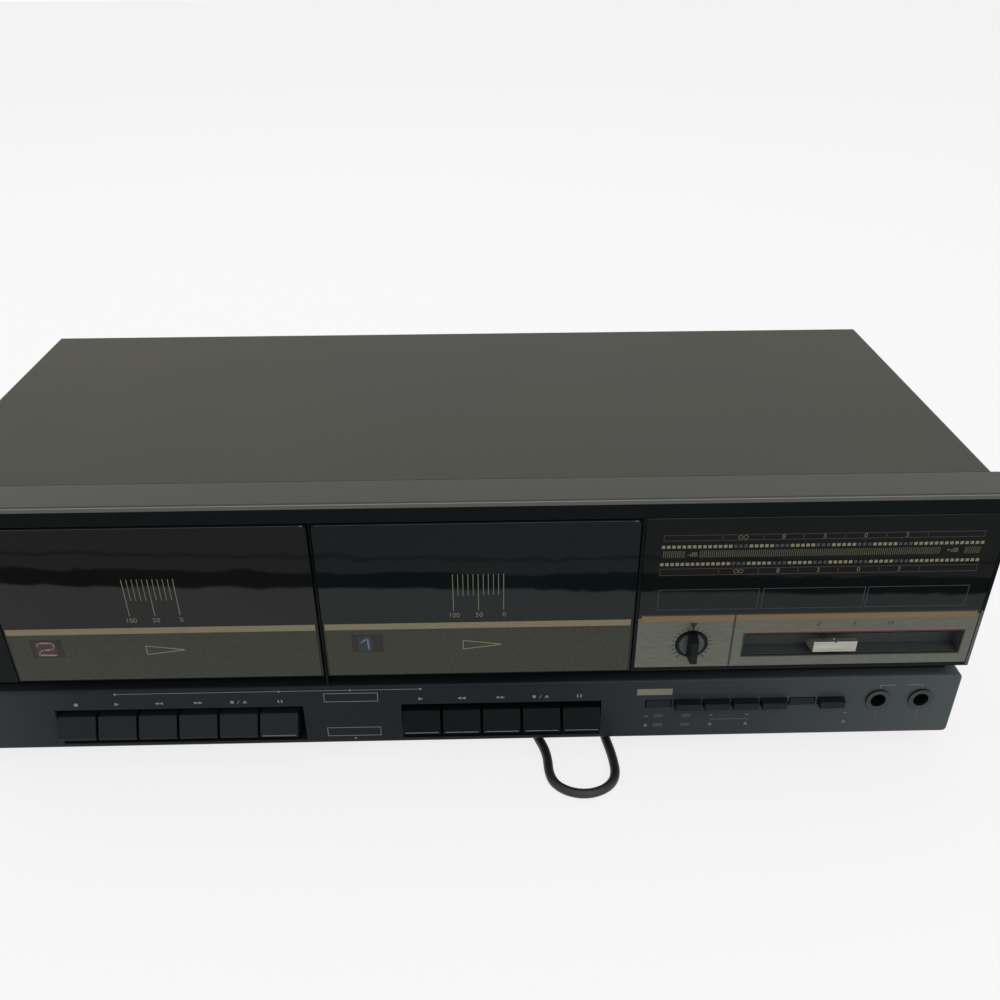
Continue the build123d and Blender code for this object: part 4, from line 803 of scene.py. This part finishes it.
# %% Dress the doors
def lay_pane(deck):
    """Lay the pane, painted highlights on its top edge, the tan strip and the brown film on a
    door.
    """
    body = f"door_{deck}"
    left, right_side = door_centres[deck] - door_half, door_centres[deck] + door_half
    low_left, low_right = left + pane_margin, right_side - pane_margin
    print_shapes(body, f"pane_{deck}", [[
        (low_left, pane_low), (low_right, pane_low), (low_right, pane_high - pane_corner),
        (low_right - pane_corner, pane_high), (low_left + pane_corner, pane_high),
        (low_left, pane_high - pane_corner),
    ]], 0.0, film_thickness)
    # Painted highlights: a lighter line along the pane's top edge, and a small bright glint at its
    # right end, where the edge catches the light.
    crease = rect(left + top_light_margin, right_side - top_light_margin, top_light_low, top_light_high)
    print_shapes(body, "crease", [crease], on_pane, patch_thickness)
    glint = rect(right_side - glint_left, right_side - glint_right, glint_low, top_light_high)
    print_shapes(body, "lip", [glint], on_top_light, patch_thickness)
    tan_strip = rect(left + left_inset, right_side - tan_right_inset, tan_low, tan_high)
    print_shapes(body, "tan", [tan_strip], on_pane, tan_thickness)
    film = rect(left + left_inset, right_side - film_right_inset, film_low, film_high)
    print_shapes(body, "brown", [film], on_pane, film_thickness)


def print_counter(deck):
    """Print the tape counter: eleven bars, of which the ends and the middle are long."""
    body, first = f"door_{deck}", counter_left[deck]
    bar_row(body, "counter", 3, 5 * counter_pitch, long_bar_width, long_bar_foot, counter_top,
            first, on_pane)
    for start in (1, 6):
        bar_row(body, "counter", 4, counter_pitch, short_bar_width, short_bar_foot, counter_top,
                first + start * counter_pitch, on_pane)
    for text, i in (("100", 0), ("50", 5), ("0", 10)):
        print_text(body, "counter", text, first + i * counter_pitch + counter_text_shift,
                   counter_text_height, counter_text_size, on_pane)


def print_badge(deck):
    """Print the badge, the patch behind its numeral, the numeral and the arrow."""
    body, colour, left = f"door_{deck}", badge_ink[deck], badge_left[deck]
    badge = rect(left, left + badge_width, badge_low, badge_high)
    print_shapes(body, "badge", [badge], on_film, film_thickness)
    patch = rect(*(left + edge for edge in numeral_patch[deck]), patch_low, patch_high)
    print_shapes(body, f"{colour}_shade", [patch], on_badge, patch_thickness)
    path = [(left + along, height) for along, height in numeral_path[deck]]
    strokes = [stroke(*ends, numeral_width) for ends in zip(path, path[1:])]
    joints = [dot(x, height, numeral_width / 2, 8) for x, height in path]
    print_shapes(body, colour, strokes + joints, on_patch)
    tail = arrow_left[deck]
    arrow = [(tail, arrow_top), (tail, arrow_foot), (tail + arrow_length, arrow_tip)]
    print_shapes(body, "gold", closed_line(arrow, arrow_line), on_film)


for deck in door_centres:
    lay_pane(deck)
    print_counter(deck)
    print_badge(deck)
print("bars on the doors", sum(rows_made))

# %% [markdown]
# ## Level display
# Two rows of small lamps show the level of each channel, with scales above and below and a
# hatched band between them. Lamps could glow, but the deck is off here, so they are only pale
# and dim bars. The two tones take turns along a row, so each row is laid in runs.

# %% Lamps and hatching
lamp_first, lamp_last = 80.1, 205.4
lamp_heights = (97.3, 89.4)
lamp_width, lamp_half = 1.35, 0.65
lamp_runs = [(14, "gold"), (3, "dim"), (5, "gold"), (3, "dim"), (5, "gold"), (3, "dim"),
             (5, "gold"), (3, "dim"), (5, "gold"), (3, "dim"), (14, "gold")]
lamp_pitch = (lamp_last - lamp_first) / (sum(count for count, _ in lamp_runs) - 1)
for row_height in lamp_heights:
    done = 0
    for count, colour in lamp_runs:
        bar_row("deck", colour, count, lamp_pitch, lamp_width, row_height - lamp_half,
                row_height + lamp_half, lamp_first + done * lamp_pitch)
        done += count
hatch_pitch, hatch_width = 0.8, 0.36
hatch_low, hatch_high = 92.4, 95.5
for start, end in ((80.4, 88.6), (94.8, 189.4), (199.4, 205.6)):
    bar_row("deck", "olive", int((end - start) / hatch_pitch) + 1, hatch_pitch, hatch_width,
            hatch_low, hatch_high, start)
print("lamp pitch", round(lamp_pitch, 3))

# %% Scales, signs and boxes
scale_line = 0.28
sign_size = 2.9
scale_boxes = ((79.8, 205.5, 99.9, 102.6), (79.5, 206.2, 84.2, 87.4))
dividers = (102.9, 118.7, 134.5, 150.6, 166.8, 183.0)
scale_numbers = (("8", 126.6), ("3", 142.6), ("0", 158.7), ("3", 174.9))
endless_x, endless_radius, endless_line = 110.8, 0.85, 0.24
display_boxes = ((79.9, 120.6), (122.1, 163.5), (164.5, 205.6))
display_box_low, display_box_high = 67.7, 77.6
for left, right_side, low, high in scale_boxes:
    middle = (low + high) / 2
    print_shapes("deck", "scale", outline(left, right_side, low, high, scale_line))
    print_shapes("deck", "scale", [
        rect(x - scale_line / 2, x + scale_line / 2, low, high) for x in dividers
    ])
    for text, x in scale_numbers:
        print_text("deck", "sign", text, x, middle, sign_size)
    for side in (-1, 1):
        ring = dot(endless_x + side, middle, endless_radius, 10)
        print_shapes("deck", "sign", closed_line(ring, endless_line))
for text, x, height in (("-dB", 91.7, 93.8), ("+dB", 194.3, 94.0)):
    print_text("deck", "sign", text, x, height, sign_size)
for left, right_side in display_boxes:
    print_shapes("deck", "frame_blue",
                 outline(left, right_side, display_box_low, display_box_high, scale_line))
print("scales", len(scale_boxes), "boxes", len(display_boxes))

# %% [markdown]
# ## Control plate
# A bronze strip crowns the satin plate. Painted shade lines the slot: a thin dark line round its
# edge and a dark lining inside its mouth. A rose line and numbers stand above the slot. The tick
# marks round the balance knob could be placed one by one, but they stand at even angles, so they
# are drawn by angle, and the two ends and the middle are longer. The knob's cap turns with the
# knob, so it rides on that body.

# %% Plate trim
trim_left, trim_right, trim_low, trim_top = 74.1, 212.1, 62.1, 64.9
trim_thickness = 0.15
plate_foot = 39.2
seam_left, seam_right = 112.1, 112.9
shadow_line = (73.0, 212.9, trim_top, 65.6)
slot_shade_edge, slot_shade_edge_width = (116.9, 209.5, 43.5, 55.7), 0.4
slot_shade_lining, shade_lining_width, shade_lining_depth = (117.3, 209.1, 43.9, 55.3), 0.25, 0.7
rose_line = (118.0, 207.0, 56.1, 57.2)
plate_rim = (213.7, 214.9, 37.5, trim_top)
slider_text_height, slider_text_lean = 59.5, 0.3
print_shapes("deck", "bronze", [
    rect(trim_left, seam_left, trim_low, trim_top),
    rect(seam_right, trim_right, trim_low, trim_top),
], 0.0, trim_thickness)
print_shapes("deck", "dark", [
    rect(seam_left, seam_right, plate_foot, trim_top), rect(*shadow_line),
])
# Painted shade: a dark line round the slot's edge, and a dark lining set inside its mouth.
print_shapes("deck", "dark", outline(*slot_shade_edge, slot_shade_edge_width))
print_shapes("deck", "dark", outline(*slot_shade_lining, shade_lining_width), shade_lining_depth, shade_lining_depth)
print_shapes("deck", "rose", [rect(*rose_line)])
print_shapes("deck", "rim", [rect(*plate_rim)])
for text, x in (("0", 147.2), ("5", 162.1), ("10", 177.0)):
    print_text("deck", "dark", text, x, slider_text_height, sign_size, lean=slider_text_lean)
print("plate seam from", seam_left, "to", seam_right)

# %% Dial marks
dial = (95.8, 50.6)
dial_pointer = [(94.2, 61.2), (97.4, 61.2), (95.8, 58.4)]
dial_turn = 140
tick_count = 19
tick_foot, tick_end, long_tick_end = 6.9, 8.5, 8.9
tick_width, long_tick_width = 0.3, 0.45
for i in range(tick_count):
    is_long = i in (0, tick_count // 2, tick_count - 1)
    angle = math.radians(-dial_turn + 2 * dial_turn / (tick_count - 1) * i)
    ends = [(dial[0] + reach * math.sin(angle), dial[1] + reach * math.cos(angle))
            for reach in (tick_foot, long_tick_end if is_long else tick_end)]
    print_shapes("deck", "dark", [stroke(*ends, long_tick_width if is_long else tick_width)])
print_shapes("deck", "dark", [dial_pointer])
cap_radius, on_knob = 5.2, -0.4
print_shapes("balance_knob", "cap", [dot(*dial, cap_radius, 40)], on_knob)
print("ticks", tick_count)

# %% [markdown]
# ## Control strip
# Icons stand over the keys, and boxes and lines group them. A font could give such signs, but
# each font draws them in its own way, so they are built from plain triangles, bars and dots.
# The pale line along the lower edge of some keys is a painted highlight, which is on the key
# itself and sinks with it.


# %% Key icons
def tape_icon(kind, x, height):
    """Return the shapes of one tape sign, centred on a point."""
    if kind == "record":
        return [dot(x, height, 0.9)]
    if kind == "play":
        return [arrowhead(x, height, 1.0, 0.8)]
    if kind in ("rewind", "forward"):
        way = 1 if kind == "forward" else -1
        return [arrowhead(x + shift, height, 0.9, 0.7, way) for shift in (-0.9, 0.9)]
    if kind == "stop":
        return [rect(x - 3.4, x - 2.0, height - 0.7, height + 0.7),
                stroke((x - 0.5, height - 0.9), (x + 0.5, height + 0.9), 0.22),
                [(x + 1.9, height - 0.2), (x + 3.5, height - 0.2), (x + 2.7, height + 0.8)],
                rect(x + 1.9, x + 3.5, height - 0.7, height - 0.4)]
    return [rect(x + shift - 0.3, x + shift + 0.3, height - 0.8, height + 0.8)
            for shift in (-0.7, 0.7)]


icon_height = 24.2
icon_places = {
    "record": (-164.3,), "play": (-147.0, -17.8), "rewind": (-129.3, -0.4),
    "forward": (-112.5, 16.5), "stop": (-95.5, 33.5), "pause": (-77.8, 50.2),
}
for kind, places in icon_places.items():
    for x in places:
        print_shapes("deck", "pale", tape_icon(kind, x, icon_height))
print("icons", sum(len(places) for places in icon_places.values()))

# %% Painted highlights on the keys
highlight_inset = 0.9
highlight_low, highlight_high = 9.1, 9.5
# Painted highlight: only deck 1's keys and the left pause key catch the light, so only they get
# the pale line.
highlight_keys = [name for name in nodes if name.endswith("key_1")] + ["pause_key_2"]
for key in highlight_keys:
    low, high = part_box(key)
    left, right_side = low[0] * 1000 + highlight_inset, high[0] * 1000 - highlight_inset
    key_front = low[1] * 1000 - face_y
    print_shapes(key, "lip", [rect(left, right_side, highlight_low, highlight_high)],
                 key_front, patch_thickness)
print("lip lines", len(highlight_keys))

# %% Lines and boxes over the keys
group_line = (-146.7, -17.8, 29.45, 29.65)
group_dots, group_dot_height, group_dot_radius = (-146.7, -77.8, -47.6, -17.8), 29.5, 0.55
strip_boxes, strip_box_line = ((-59.1, -36.0, 23.3, 28.0), (-59.2, -35.9, 4.3, 9.1)), 0.25
strip_box_dot = (-47.3, 2.9, 0.5)
print_shapes("deck", "pale", [rect(*group_line)])
print_shapes("deck", "pale", [dot(x, group_dot_height, group_dot_radius) for x in group_dots])
for box in strip_boxes:
    print_shapes("deck", "pale", outline(*box, strip_box_line))
print_shapes("deck", "pale", [dot(*strip_box_dot)])
print("dots on the line", len(group_dots), "boxes", len(strip_boxes))

# %% [markdown]
# ## Signs at the buttons and sockets
# A tan label marks the first button. Two buttons say ON and OFF, some have small marks for out
# and in, and a thin line links two of those. A bracket joins the two sockets from above, and a
# short line leads down from each. The words could only be text, but all else is drawn with the
# same few shapes as the icons.

# %% Signs at the buttons
button_label = (75.0, 90.2, 23.9, 27.2)
word_size = 2.3
out_mark, in_mark, mark_half = (11.9, 12.4), (6.3, 7.7), 0.7
print_shapes("deck", "mark", [rect(*button_label)])
for x in (85.2, 97.2):
    for word, height in (("ON", 12.2), ("OFF", 7.0)):
        print_text("deck", "sign", word, x, height, word_size)
for x in (79.9, 108.3, 124.0, 167.4):
    print_shapes("deck", "sign", [
        rect(x - mark_half, x + mark_half, *heights) for heights in (out_mark, in_mark)
    ])
link_left, link_right, link_end_low, link_end_high = 108.2, 124.4, 9.2, 10.4
print_shapes("deck", "sign", [
    rect(link_left, link_right, 9.7, 9.9),
    rect(link_left, 108.4, link_end_low, link_end_high),
    rect(124.2, link_right, link_end_low, link_end_high),
])
print("button label from", button_label[0], "to", button_label[1])

# %% Signs at the sockets
socket_lines = (((180.4, 9.4), (180.7, 13.3)), ((198.9, 9.4), (199.1, 13.3)))
socket_line_width = 0.2
print_shapes("deck", "sign", [stroke(*ends, socket_line_width) for ends in socket_lines])
bracket_low, bracket_high, bracket_line = 25.4, 26.8, 0.22
bracket_left, bracket_right = 179.9, 198.5
gap_left, gap_right = 186.4, 192.0
print_shapes("deck", "pale", [
    rect(bracket_left, gap_left, bracket_high, bracket_high + bracket_line),
    rect(gap_right, bracket_right, bracket_high, bracket_high + bracket_line),
    rect(bracket_left, bracket_left + bracket_line, bracket_low, bracket_high),
    rect(bracket_right - bracket_line, bracket_right, bracket_low, bracket_high),
])
print("signs on", len(sheets), "sheets")

# %% [markdown]
# ## Build the sheets
# Every sheet becomes one object that rides on its body. They could all be joined to the case,
# but then the prints on a door would stay behind when it opens.

# %% Turn sheets into pieces
for (body, colour), mesh in sheets.items():
    data = bpy.data.meshes.new(f"{body}_{colour}_print")
    mesh.to_mesh(data)
    mesh.free()
    data.materials.clear()
    data.materials.append(ink[colour])
    piece = bpy.data.objects.new(data.name, data)
    scene.collection.objects.link(piece)
    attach(piece, body)
print("rows", len(rows_made), "bars", sum(rows_made))
